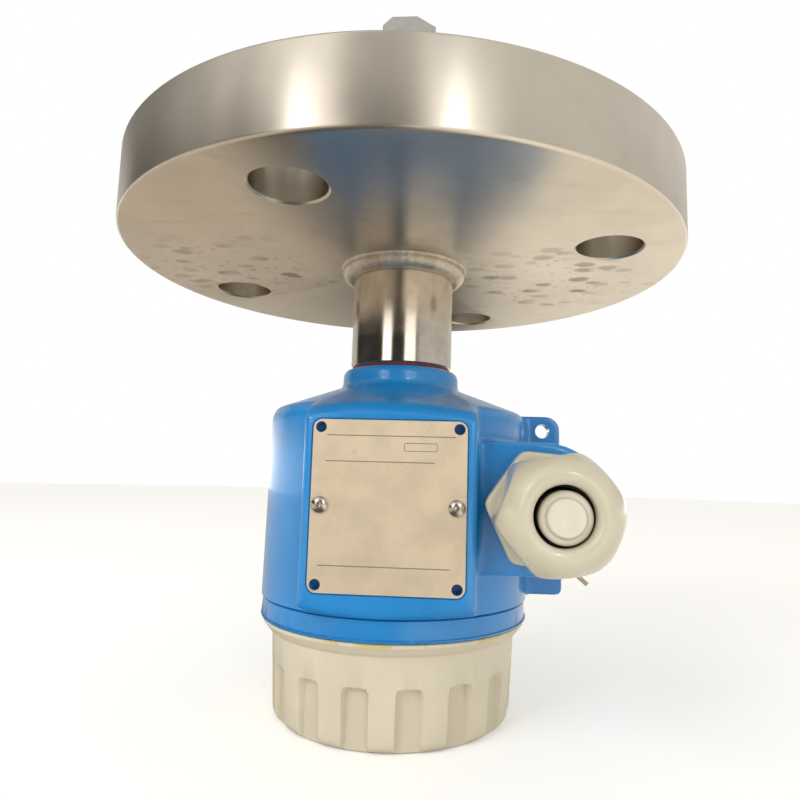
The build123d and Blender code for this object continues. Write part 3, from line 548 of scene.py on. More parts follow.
def ring(inner, outer, low, high, edge):
    """The outline of a ring, its outer edges rounded."""
    return rounded([(inner, low, 0), (outer, low, edge), (outer, high, edge), (inner, high, 0)])


def turned(profile, segments=192, shape=None):
    """Vertices and faces of a closed profile of (radius, height) points turned about Z."""
    vertices = []
    faces = []
    count = len(profile)
    for k in range(segments):
        turn = 2 * pi * k / segments
        for radius, height in profile:
            if shape:
                radius, height = shape(turn, radius, height)
            vertices.append((radius * cos(turn), radius * sin(turn), height))
        here = k * count
        there = (k + 1) % segments * count
        for i in range(count):
            after = (i + 1) % count
            faces.append((here + i, there + i, there + after, here + after))
    return vertices, faces


def prism(outline, low, high):
    """Vertices and faces of an outline in XY carried from one height to another."""
    count = len(outline)
    vertices = [(x, y, low) for x, y in outline] + [(x, y, high) for x, y in outline]
    faces = [(i, (i + 1) % count, count + (i + 1) % count, count + i) for i in range(count)]
    return vertices, faces + [tuple(reversed(range(count))), tuple(range(count, 2 * count))]


def bar(x0, x1, y0, y1, low, high):
    """A plain rectangular bar."""
    return prism([(x0, y0), (x1, y0), (x1, y1), (x0, y1)], low, high)


def placed(solid, matrix):
    """A solid's vertices moved by a matrix."""
    vertices, faces = solid
    return [tuple(matrix @ Vector(v)) for v in vertices], faces


def together(*solids):
    """Several solids as one list of vertices and faces."""
    vertices = []
    faces = []
    for more_vertices, more_faces in solids:
        start = len(vertices)
        vertices += more_vertices
        faces += [tuple(start + i for i in face) for face in more_faces]
    return vertices, faces


def mesh_of(name, solid):
    """A clean mesh: doubled points joined and faces turned outwards."""
    mesh = bpy.data.meshes.new(name)
    mesh.from_pydata(solid[0], [], solid[1])
    work = bmesh.new()
    work.from_mesh(mesh)
    bmesh.ops.remove_doubles(work, verts=work.verts, dist=0.0005 * MM)
    bmesh.ops.recalc_face_normals(work, faces=work.faces)
    work.to_mesh(mesh)
    work.free()
    return mesh


def linked(name, data):
    """A new object in the scene."""
    made = bpy.data.objects.new(name, data)
    bpy.context.collection.objects.link(made)
    return made


def piece(name, mesh, body, finish, stands_for, crisp=35):
    """Puts a finished piece in the scene, on its body and in place of its CAD node."""
    made = linked(name, mesh)
    mesh.shade_smooth()
    mesh.set_sharp_from_angle(angle=radians(crisp))
    mesh.materials.clear()
    mesh.materials.append(finish)
    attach(made, body)
    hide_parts(*stands_for)


def shaped(name, mesh, changes):
    """A mesh with modifiers applied; each change is a type and its settings."""
    work = linked(name + "_work", mesh)
    for kind, settings in changes:
        modifier = work.modifiers.new(kind, kind)
        for key, value in settings.items():
            setattr(modifier, key, value)
    graph = bpy.context.evaluated_depsgraph_get()
    result = bpy.data.meshes.new_from_object(work.evaluated_get(graph))
    result.name = name
    bpy.data.objects.remove(work)
    return result


def cut(name, mesh, *cutters):
    """A mesh with closed cutters taken out of it."""
    tool = linked(name + "_cutter", mesh_of(name + "_cutter", together(*cutters)))
    settings = {"operation": "DIFFERENCE", "solver": "MANIFOLD", "object": tool}
    result = shaped(name, mesh, [("BOOLEAN", settings)])
    bpy.data.objects.remove(tool)
    return result


def rod(radius, low, high, x=0.0, y=0.0, segments=64):
    """A plain closed cylinder along Z."""
    turns = [2 * pi * k / segments for k in range(segments)]
    return prism([(x + radius * cos(turn), y + radius * sin(turn)) for turn in turns], low, high)


def facing_front(x, y, z):
    """Turns what is made about +Z to point along -Y from a point."""
    return Matrix.Translation((x, y, z)) @ Matrix.Rotation(radians(90), 4, "X")


def give(finish, *nodes):
    """Gives CAD nodes a finish."""
    for name in nodes:
        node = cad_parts[name]
        node.data.materials.clear()
        node.data.materials.append(finish)


class SWITCH_OT_flange(bpy.types.Operator):
    """Turn the flange and drill its bolt holes"""

    bl_idname = "switch.flange"
    bl_label = "Flange"

    def execute(self, context):
        size = sizes()
        rim = FLANGE_HIGH[0]
        front = FLANGE_HIGH[2]
        bore = TUBE_R
        bevel = 3.2 * MM
        edge = 0.9 * MM
        lip = 0.5 * MM
        flare = size.bolt_hole + 2 * lip
        profile = rounded([
            (bore, 0.0, 0.0), (rim, 0.0, edge), (rim, front, edge), (bore + bevel, front, 0.0),
            (bore, front - bevel, 0.0)], 5)
        mesh = mesh_of("flange_steel", turned(profile, 384))
        holes = []
        for k in range(4):
            turn = size.first_bolt + k * pi / 2
            x = size.bolt_circle * cos(turn)
            y = size.bolt_circle * sin(turn)
            hole = [
                (0.0, -lip), (flare, -lip), (size.bolt_hole, lip), (size.bolt_hole, front - lip),
                (flare, front + lip), (0.0, front + lip)]
            holes.append(placed(turned(hole, 96), Matrix.Translation((x, y, 0.0))))
        mesh = cut("flange_steel", mesh, *holes)
        piece("flange_steel", mesh, "sensor", turned_steel(), ["flange"], 30)
        return {"FINISHED"}


class SWITCH_OT_neck(bpy.types.Operator):
    """Polish the neck and lay the rippled weld bead at its root"""

    bl_idname = "switch.neck"
    bl_label = "Neck and weld"

    def execute(self, context):
        give(polished_steel(), "neck_sleeve", "sensor_tube")
        bead = weld_steel()
        give(bead, "face_weld", "fork_girth_weld")
        give(plain_steel("fork_steel", (0.62, 0.61, 0.59), 0.24, 0.4), "tuning_fork")
        neck_r = NECK_HIGH[0]
        toe = WELD_HIGH[0]
        root = WELD_LOW[2]
        crown = []
        steps = 14
        for step in range(steps + 1):
            turn = pi / 2 * step / steps
            bulge = 0.86 + 0.14 * sin(2 * turn)
            crown.append((neck_r + (toe - neck_r) * cos(turn) * bulge, root * sin(turn) * bulge))
        sunk = 0.15 * MM
        profile = [(neck_r - sunk, 0.0), (toe, 0.0)] + crown[1:] + [(neck_r - sunk, root)]
        ripples = 44
        height = sizes().ripple
        reach = toe - neck_r

        def rippled(turn, radius, level):
            """Overlapping scallops that lean along the bead, uneven in size."""
            out = (radius - neck_r) / reach
            if out < 0.02 or level > -0.05 * MM:
                return radius, level
            lean = 0.35 * sin(out * pi)
            wander = noise.noise((cos(turn) * 3, sin(turn) * 3, 0.3))
            wave = abs(sin(ripples / 2 * turn + lean + wander * 1.5))
            lift = height * (wave - 0.6) + 0.25 * MM * wander
            return radius + lift * 0.7, level - lift * 0.7 * (1 - out)

        mesh = mesh_of("weld_bead", turned(profile, 720, rippled))
        piece("weld_bead", mesh, "sensor", bead, ["neck_weld"], 60)
        low = RING_LOW[2]
        high = RING_HIGH[2]
        seal = rubber("red_rubber", colours().seal)
        mesh = mesh_of("neck_ring", turned(ring(SEAL_R, RING_HIGH[0], low, high, (high - low) * 0.45)))
        piece("neck_ring", mesh, "sensor", seal, ["neck_seal_ring"])
        return {"FINISHED"}


# Sizes of the casting.
COLLAR_R = 17.6 * MM
COLLAR_H = 5.8 * MM
SHOULDER_R = 37.0 * MM
SHOULDER_Z = HOUSING_HIGH[2] - 13.2 * MM
DRUM_TOP_R = 38.0 * MM
DRUM_TOP_Z = HOUSING_HIGH[2] - 15.6 * MM
DRUM_LOW_R = 38.5 * MM
STEP_Z = HOUSING_HIGH[2] - 65.4 * MM
LIP_R = 38.0 * MM
CAVITY_R = 31.5 * MM
THREAD_R = 33.1 * MM
THREAD_DEPTH = 10.5 * MM
HUB_END = HOUSING_HIGH[2] - 16.0 * MM
PILLAR_Y = 22.5 * MM
BOSS_R = 16.6 * MM
BOSS_HALF = -BOSS_FACE
ENTRY_R = 9.4 * MM
PAD_Y = HOUSING_LOW[1]
PAD_LEFT = -19.7 * MM
PAD_RIGHT = 23.1 * MM
PAD_BACK = -24.0 * MM
LUG_RIGHT = 48.7 * MM
LUG_TOP = -45.0 * MM
LUG_LOW = -97.8 * MM
LUG_BACK = 5.0 * MM
LUG_HOLE_X = 43.4 * MM
LUG_HOLE_Z = -49.6 * MM
LUG_HOLE_R = 2.1 * MM


def roof(x, y):
    """Height of the shoulder's slope over a point."""
    out = max(hypot(x, y), COLLAR_R)
    top = HOUSING_HIGH[2] - COLLAR_H
    return top + (SHOULDER_Z - top) * (out - COLLAR_R) / (SHOULDER_R - COLLAR_R)


def pad_top(x, y):
    """The shoulder's slope, falling away softly to the pad's face."""
    soft = 3.4 * MM
    return roof(x, y) - max(0.0, soft - (y - PAD_Y)) ** 2 / (2 * soft)


def pad_foot(x, y):
    """The pad's foot, faced off to a shallow cone that meets the drum's step."""
    return STEP_Z + 0.39 * (hypot(x, y) - DRUM_LOW_R)


def block(x0, x1, y0, y1, foot, top):
    """A block whose foot and top follow a height over each point."""
    step = 1.0 * MM
    columns = max(1, round((x1 - x0) / step))
    rows = max(1, round((y1 - y0) / step))
    vertices = []
    for level in (0, 1):
        for j in range(rows + 1):
            for i in range(columns + 1):
                x = x0 + (x1 - x0) * i / columns
                y = y0 + (y1 - y0) * j / rows
                vertices.append((x, y, top(x, y) if level else foot(x, y)))
    across = columns + 1
    layer = across * (rows + 1)
    faces = []
    for j in range(rows):
        for i in range(columns):
            a = j * across + i
            faces.append((a, a + across, a + across + 1, a + 1))
            faces.append((layer + a, layer + a + 1, layer + a + across + 1, layer + a + across))
    edge = list(range(across))
    edge += [j * across + columns for j in range(1, rows + 1)]
    edge += [rows * across + i for i in range(columns - 1, -1, -1)]
    edge += [j * across for j in range(rows - 1, 0, -1)]
    for here, there in zip(edge, edge[1:] + edge[:1]):
        faces.append((here, there, layer + there, layer + here))
    return vertices, faces


def casting():
    """The outer form: drum, nameplate pad, entry boss, lug plate and earth seat, fused and rounded."""
    end = HOUSING_LOW[2]
    top = HOUSING_HIGH[2]
    drum = turned(divided(rounded([
        (0.0, top, 0), (COLLAR_R, top, 2.2 * MM), (COLLAR_R, top - COLLAR_H, 1.8 * MM),
        (SHOULDER_R, SHOULDER_Z, 1.6 * MM), (DRUM_TOP_R, DRUM_TOP_Z, 1.2 * MM), (DRUM_LOW_R, STEP_Z, 0),
        (DRUM_LOW_R, end - 1.0 * MM, 0), (0.0, end - 1.0 * MM, 0)]), 6 * MM), 256)
    pad = block(PAD_LEFT, PAD_RIGHT, PAD_Y, PAD_BACK, pad_foot, pad_top)
    tube = turned(ring(0.0, BOSS_R, -BOSS_HALF, BOSS_HALF, 1.0 * MM))
    tube = placed(tube, facing_front(GLAND_AXIS.x, 0.0, GLAND_AXIS.z))
    link = bar(12 * MM, GLAND_AXIS.x, -BOSS_HALF, BOSS_HALF, GLAND_AXIS.z - BOSS_R, GLAND_AXIS.z + BOSS_R)
    lug_left = 20 * MM
    lug_outline = rounded([
        (lug_left, LUG_LOW, 0), (LUG_RIGHT + 0.7 * MM, LUG_LOW, 1.9 * MM), (LUG_RIGHT, LUG_TOP, 4.3 * MM),
        (lug_left, LUG_TOP, 0)])
    lug = placed(prism(lug_outline, 0.0, LUG_BACK), facing_front(0.0, LUG_BACK, 0.0))
    clamp = middle(*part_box("ground_clamp"))
    seat_turn = radians(-40.0)
    seat = bar(-4.5 * MM, 8.1 * MM, -4 * MM, 4 * MM, BOSS_R - 4.5 * MM, BOSS_R + 0.5 * MM)
    ray = Vector((cos(seat_turn), 0.0, sin(seat_turn)))
    side = Vector((ray.z, 0.0, -ray.x))
    frame_of_seat = Matrix((side, ray.cross(side), ray)).transposed().to_4x4()
    frame_of_seat.translation = Vector((GLAND_AXIS.x, clamp.y, GLAND_AXIS.z))
    shell = mesh_of("housing_casting", together(drum, pad, tube, link, lug, placed(seat, frame_of_seat)))
    size = sizes()
    return shaped("housing_casting", shell, [
        ("REMESH", {"mode": "VOXEL", "voxel_size": size.casting_voxel, "use_smooth_shade": True}),
        ("SMOOTH", {"factor": 0.5, "iterations": size.casting_rounds})])


class SWITCH_OT_housing(bpy.types.Operator):
    """Cast the housing, cut its bores, steps and plate pocket, and paint it"""

    bl_idname = "switch.housing"
    bl_label = "Housing"

    def execute(self, context):
        end = HOUSING_LOW[2]
        top = HOUSING_HIGH[2]
        far = 60 * MM
        groove = 0.7 * MM
        step_ring = turned([
            (LIP_R, STEP_Z - groove), (LIP_R - groove, STEP_Z - groove / 2), (DRUM_LOW_R, STEP_Z),
            (far, STEP_Z), (far, end - 3 * MM), (LIP_R, end - 3 * MM)], 256)
        below = rod(far, end - 4 * MM, end, segments=96)
        cavity = turned(rounded([
            (0.0, HUB_END, 0), (20 * MM, HUB_END, 2 * MM), (CAVITY_R, HUB_END - 4 * MM, 2 * MM),
            (CAVITY_R, end + THREAD_DEPTH, 0), (THREAD_R, end + THREAD_DEPTH, 0), (THREAD_R, end - 1 * MM, 0),
            (0.0, end - 1 * MM, 0)]), 192)
        bore = rod(BORE_R, HUB_END - 2 * MM, top + 2 * MM, segments=128)
        along = facing_front(GLAND_AXIS.x, 0.0, GLAND_AXIS.z)
        entry = placed(rod(ENTRY_R, -BOSS_HALF - 2 * MM, BOSS_HALF + 2 * MM, segments=96), along)
        passage = bar(26 * MM, 40 * MM, -11 * MM, 11 * MM, GLAND_AXIS.z - 6 * MM, GLAND_AXIS.z + 6 * MM)
        room = 0.35 * MM
        half_w = (PLATE_HIGH[0] - PLATE_LOW[0]) / 2 + room
        half_h = (PLATE_HIGH[2] - PLATE_LOW[2]) / 2 + room
        corner = 2.55 * MM
        outline = rounded([
            (-half_w, -half_h, corner), (half_w, -half_h, corner), (half_w, half_h, corner),
            (-half_w, half_h, corner)])
        on_plate = facing_front(PLATE_CENTRE.x, PLATE_HIGH[1], PLATE_CENTRE.z)
        pocket = placed(prism(outline, 0.0, 6 * MM), on_plate)
        holes = []
        inset = 2.25 * MM
        corner_hole = 1.35 * MM
        for x in (inset - half_w, half_w - inset):
            for z in (inset - half_h, half_h - inset):
                holes.append(placed(rod(corner_hole, -4 * MM, 1 * MM, x, z, 32), on_plate))
        pin_hole = 1.2 * MM
        pin_x = PIN_REACH - 2.1 * MM
        for x in (-pin_x, pin_x):
            holes.append(placed(rod(pin_hole, -5 * MM, 1 * MM, x, 0.0, 32), on_plate))
        lug_hole = rod(LUG_HOLE_R, -8 * MM, 2 * MM, LUG_HOLE_X, LUG_HOLE_Z, 48)
        lug_hole = placed(lug_hole, facing_front(0.0, 0.0, 0.0))
        lock = middle(*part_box("swivel_lock_screw"))
        lock_hole = placed(rod(2.0 * MM, -20 * MM, -12 * MM, segments=32), facing_front(lock.x, 0.0, lock.z))
        rounds = [
            [step_ring, below], [cavity], [bore, entry, pocket, lug_hole], [passage, *holes], [lock_hole]]
        mesh = casting()
        for cutters in rounds:
            mesh = cut("housing_casting", mesh, *cutters)
        pillars = []
        for y in (-PILLAR_Y, PILLAR_Y):
            pillars.append(rod(4.0 * MM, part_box("insert_base")[1][2], HUB_END + 1 * MM, 0.0, y, 48))
        work = bmesh.new()
        work.from_mesh(mesh)
        work.from_mesh(mesh_of("pillars", together(*pillars)))
        work.to_mesh(mesh)
        work.free()
        piece("housing_casting", mesh, "housing", gloss_paint(), ["housing"], 38)
        return {"FINISHED"}


class SWITCH_OT_nameplate(bpy.types.Operator):
    """Finish the nameplate and press in its two domed pins"""

    bl_idname = "switch.nameplate"
    bl_label = "Nameplate and pins"

    def execute(self, context):
        give(plate_steel(), "nameplate")
        head = (PINS_HIGH[2] - PINS_LOW[2]) / 2
        rise = PLATE_LOW[1] - PINS_LOW[1]
        dome = [(0.0, rise * 0.86), (head * 0.16, rise * 0.90)]
        steps = 10
        for step in range(steps + 1):
            turn = radians(18) + radians(72) * step / steps
            dome.append((head * sin(turn), rise * max(0.0, cos(turn)) ** 0.8))
        under = -0.02 * MM
        shank = 1.15 * MM
        tip = -4.6 * MM
        profile = dome + [(head, under), (shank, under), (shank, tip), (0.0, tip)]
        pins = []
        for side in (-1, 1):
            x = PLATE_CENTRE.x + side * (PIN_REACH - head)
            pins.append(placed(turned(profile, 64), facing_front(x, PLATE_LOW[1], PLATE_CENTRE.z)))
        finish = plain_steel("pin_steel", (0.60, 0.57, 0.52), 0.16, 0.9)
        mesh = mesh_of("plate_pins", together(*pins))
        piece("plate_pins", mesh, "housing", finish, ["nameplate_pins"], 50)
        return {"FINISHED"}


def hexagon(angle, flat):
    """How far out a hexagon's side lies at an angle from one of its corners."""
    return flat / cos(pi / 6 - abs((angle + pi / 6) % (pi / 3) - pi / 6))


def eased_least(a, b, ease):
    """The smaller of two lengths, with the change from one to the other rounded."""
    mix = max(0.0, min(1.0, 0.5 + 0.5 * (b - a) / ease))
    return b * (1 - mix) + a * mix - ease * mix * (1 - mix)


def on_gland(solid):
    """Sets a solid made about +Z on the boss's face, pointing forwards along the gland."""
    return placed(solid, facing_front(GLAND_AXIS.x, BOSS_FACE, GLAND_AXIS.z))


class SWITCH_OT_gland(bpy.types.Operator):
    """Mould the gland's domed nut, its hexagon body, the dust cap and the blanking plug"""

    bl_idname = "switch.gland"
    bl_label = "Cable gland"

    def execute(self, context):
        grey = moulded_plastic("gland_plastic", colours().gland, 0.22, 0.55, 0.35)
        self.nut(grey)
        self.hexagon_body(grey)
        self.cap()
        give(grey, "blanking_plug")
        dark = rubber("black_rubber", (0.018, 0.018, 0.017))
        give(dark, "gland_seal_washer", "gland_seal_insert", "blanking_plug_seal", "swivel_o_ring")
        return {"FINISHED"}

    def nut(self, finish):
        """The domed hexagon nut with its rolled mouth."""
        low = BOSS_FACE - NUT_HIGH[1]
        high = BOSS_FACE - NUT_LOW[1]
        length = high - low
        flat = 12.45 * MM
        corner = 13.95 * MM
        neck = 9.1 * MM
        mouth = 6.45 * MM
        lip = 8.7 * MM
        start = 11.5 * MM
        chamfer = 0.9 * MM
        outer = [(corner - 0.8 * MM, low), (corner - 0.3 * MM, low + 0.25 * MM), (corner, low + chamfer)]
        straight = 8
        for step in range(1, straight + 1):
            outer.append((corner, low + chamfer + (start - chamfer) * step / straight))
        steps = 26
        last = pi / 2 * 0.93
        rolled = lip - 1.2 * MM
        for step in range(1, steps + 1):
            turn = last * step / steps
            radius = rolled + (corner - rolled) * cos(turn) ** 0.85
            outer.append((radius, low + start + (length - start) * sin(turn) / sin(last)))
        seat = 8.0 * MM
        inner = [
            (mouth + 0.55 * MM, high - 0.15 * MM), (mouth + 0.15 * MM, high - 0.6 * MM),
            (mouth, high - 1.4 * MM), (mouth, high - 4.2 * MM), (seat, high - 5.4 * MM),
            (seat, high - 7.0 * MM), (neck, high - 8.0 * MM), (neck, low)]
        limit = 9.6 * MM
        askew = radians(10.0)

        def faceted(turn, radius, level):
            """The dome where it is narrower than the hexagon, the hexagon elsewhere."""
            if radius < limit:
                return radius, level
            side = hexagon(turn - askew, flat)
            shrink = corner - radius if level < low + 1.0 * MM else 0.0
            return eased_least(side, radius + shrink, 0.5 * MM) - shrink, level

        mesh = mesh_of("domed_nut", on_gland(turned(outer + inner, 288, faceted)))
        piece("domed_nut", mesh, "gland_nut", finish, ["gland_nut"], 50)

    def hexagon_body(self, finish):
        """The gland's body, with the hexagon collar that it is tightened by."""
        base = 1.5 * MM
        top = base + 6.0 * MM
        flat = 13.5 * MM
        corner = 15.2 * MM
        length = BOSS_FACE - GLAND_LOW[1]
        outer = [
            (corner - 1.2 * MM, base), (corner - 0.3 * MM, base + 0.25 * MM), (corner, base + 0.9 * MM),
            (corner, base + 3 * MM), (corner, top - 0.9 * MM), (corner - 0.3 * MM, top - 0.25 * MM),
            (corner - 1.2 * MM, top)]
        thread = 8.9 * MM
        cup = 7.7 * MM
        bore = 6.3 * MM
        shelf = 13.5 * MM
        tail = -9.0 * MM
        shank = 9.3 * MM
        profile = outer + [
            (thread, top), (thread, length), (cup, length), (cup, shelf), (bore, shelf), (bore, tail),
            (shank - 0.3 * MM, tail), (shank, tail + 0.4 * MM), (shank, base)]
        limit = 11 * MM
        askew = radians(5.0)

        def faceted(turn, radius, level):
            """The hexagon's sides on the collar only."""
            if radius < limit:
                return radius, level
            side = hexagon(turn + askew, flat)
            return eased_least(side, corner, 0.7 * MM) - (corner - radius), level

        mesh = mesh_of("gland_hexagon", on_gland(turned(profile, 240, faceted)))
        piece("gland_hexagon", mesh, "housing", finish, ["gland_body"], 40)

    def cap(self):
        """The dust cap with its raised button, sitting a little askew in the nut."""
        radius = (CAP_HIGH[0] - CAP_LOW[0]) / 2 - 0.25 * MM
        low = BOSS_FACE - CAP_HIGH[1]
        high = BOSS_FACE - CAP_LOW[1]
        face = high - 1.1 * MM
        button = 4.3 * MM
        profile = rounded([
            (0.0, low, 0), (radius, low, 0.4 * MM), (radius, face, 0.9 * MM),
            (button, face - 0.35 * MM, 0.25 * MM), (button - 0.4 * MM, high, 0.5 * MM),
            (1.2 * MM, high - 0.1 * MM, 0), (0.0, high - 0.45 * MM, 0)])
        pale = moulded_plastic("cap_plastic", (0.70, 0.65, 0.54), 0.28, 0.4, 0.2)
        mesh = mesh_of("dust_cap", on_gland(turned(divided(profile, 3 * MM), 128)))
        askew = Vector((0.35 * MM, 0.0, -0.3 * MM))
        mesh.transform(Matrix.Translation(askew))
        piece("dust_cap", mesh, "gland_cap", pale, ["gland_cap"], 50)


class SWITCH_OT_cover(bpy.types.Operator):
    """Mould the fluted screw cover and its seal"""

    bl_idname = "switch.cover"
    bl_label = "Screw cover"

    def execute(self, context):
        size = sizes()
        foot = COVER_LOW[2]
        band = SEAL_LOW[2] - 0.05 * MM
        rim_r = COVER_HIGH[0]
        band_end = band - 3.2 * MM
        band_low_r = 36.0 * MM
        cup_top_r = 35.0 * MM
        cup_low_r = 33.8 * MM
        spigot_r = 33.0 * MM
        inner_r = 30.4 * MM
        groove_r = 31.8 * MM
        groove_top = band + 1.7 * MM
        top = COVER_HIGH[2]
        floor = foot + 3.4 * MM
        outline = rounded([
            (0.0, foot, 0), (cup_low_r, foot, 3.0 * MM), (cup_top_r, band_end - 0.2 * MM, 0.8 * MM),
            (band_low_r, band_end + 0.3 * MM, 0.5 * MM), (rim_r, band - 0.9 * MM, 0.4 * MM),
            (rim_r, band, 0.3 * MM), (groove_r, band, 0), (groove_r, groove_top, 0),
            (spigot_r, groove_top, 0.2 * MM), (spigot_r, top, 0.5 * MM), (inner_r, top, 0.5 * MM),
            (inner_r, floor, 2.0 * MM), (0.0, floor, 0)], 8)
        floor_r = cup_low_r - size.flute_depth
        half = size.flute_width / 2
        corner = 1.8 * MM
        flute_top = foot + size.flute_length
        soft = 0.38 * MM
        pitch = 2 * pi / size.flutes

        def reached(radius, level):
            """Whether a point lies where the flutes are, on the outer side."""
            outside = radius > inner_r + 0.2 * MM or level < floor - 0.2 * MM
            return radius > floor_r - 4 * MM and level < flute_top + 1 * MM and outside

        profile = [point for point in divided(outline, 0.75 * MM) if point in outline or reached(*point)]

        def fluted(turn, radius, level):
            """A flat-floored flute with a rounded top, its edges eased."""
            if not reached(radius, level):
                return radius, level
            inside = (turn - size.first_flute + pitch / 2) % pitch - pitch / 2
            across = abs(radius * sin(inside)) - (half - corner)
            along = level - (flute_top - corner)
            away = hypot(max(across, 0.0), max(along, 0.0)) + min(max(across, along), 0.0) - corner
            depth = max(0.0, min(1.0, 0.5 - away / (2 * soft)))
            depth = depth * depth * (3 - 2 * depth)
            sunk = min(radius, floor_r / cos(inside))
            return radius + (sunk - radius) * depth, level

        mesh = mesh_of("fluted_cover", turned(profile, 800, fluted))
        piece("fluted_cover", mesh, "cover", cover_plastic(), ["cover"], 40)
        dark = rubber("cover_rubber", (0.015, 0.015, 0.013))
        profile = ring(32.0 * MM, SEAL_HIGH[0], SEAL_LOW[2], SEAL_HIGH[2], 0.35 * MM)
        mesh = mesh_of("cover_ring_seal", turned(profile, 256))
        piece("cover_ring_seal", mesh, "cover_ring", dark, ["cover_seal"])
        return {"FINISHED"}


# Name, colour, roughness, gloss coat, specks and nodes of each plain plastic.
PLASTICS = [
    ("insert_plastic", (0.025, 0.025, 0.028), 0.42, 0.1, 0.0, ["insert_base", "insert_lid", "insert_socket"]),
    ("switch_plastic", (0.75, 0.75, 0.72), 0.3, 0.3, 0.0, ["safety_switch", "density_switch"]),
    ("terminal_plastic", (0.07, 0.27, 0.10), 0.38, 0.1, 0.0, ["terminal_block"]),
    ("component_plastic", (0.05, 0.05, 0.06), 0.4, 0.1, 0.0, ["board_components", "board_posts"]),
    ("potting", (0.03, 0.03, 0.035), 0.3, 0.2, 0.0, ["sealing_plug"]),
    ("ceramic", (0.80, 0.77, 0.68), 0.45, 0.0, 0.1, ["piezo_discs"]),
    ("wire_insulation", (0.75, 0.75, 0.72), 0.35, 0.1, 0.0, ["sensor_leads"]),
]


class SWITCH_OT_inside(bpy.types.Operator):
    """Finish the electronic insert, the drive behind the fork and the small fittings"""

    bl_idname = "switch.inside"
    bl_label = "Insert, drive and fittings"

    def execute(self, context):
        for name, tone, rough, coat, speck, nodes in PLASTICS:
            give(moulded_plastic(name, tone, rough, coat, speck), *nodes)
        give(board_laminate(), "circuit_board")
        give(lens_plastic(), "status_lights")
        give(plain_steel("contact_brass", (0.80, 0.60, 0.25), 0.25), "contact_pins", "piezo_electrodes")
        screws = plain_steel("screw_steel", (0.56, 0.54, 0.50), 0.24)
        give(screws, "insert_screws", "terminal_screws", "ground_spring_washer", "ground_screw")
        give(plain_steel("clamp_steel", (0.36, 0.31, 0.25), 0.22), "ground_clamp")
        dark = plain_steel("spring_steel", (0.30, 0.30, 0.31), 0.3)
        give(dark, "retaining_ring", "drive_back_mass", "drive_bolt", "drive_nut", "drive_pressure_ring",
             "swivel_lock_screw")
        return {"FINISHED"}


FLOOR_R = 2.5
SENSOR = 36.0
WHITE = (1.0, 1.0, 1.0, 1.0)
BLACK = (0.0, 0.0, 0.0, 1.0)


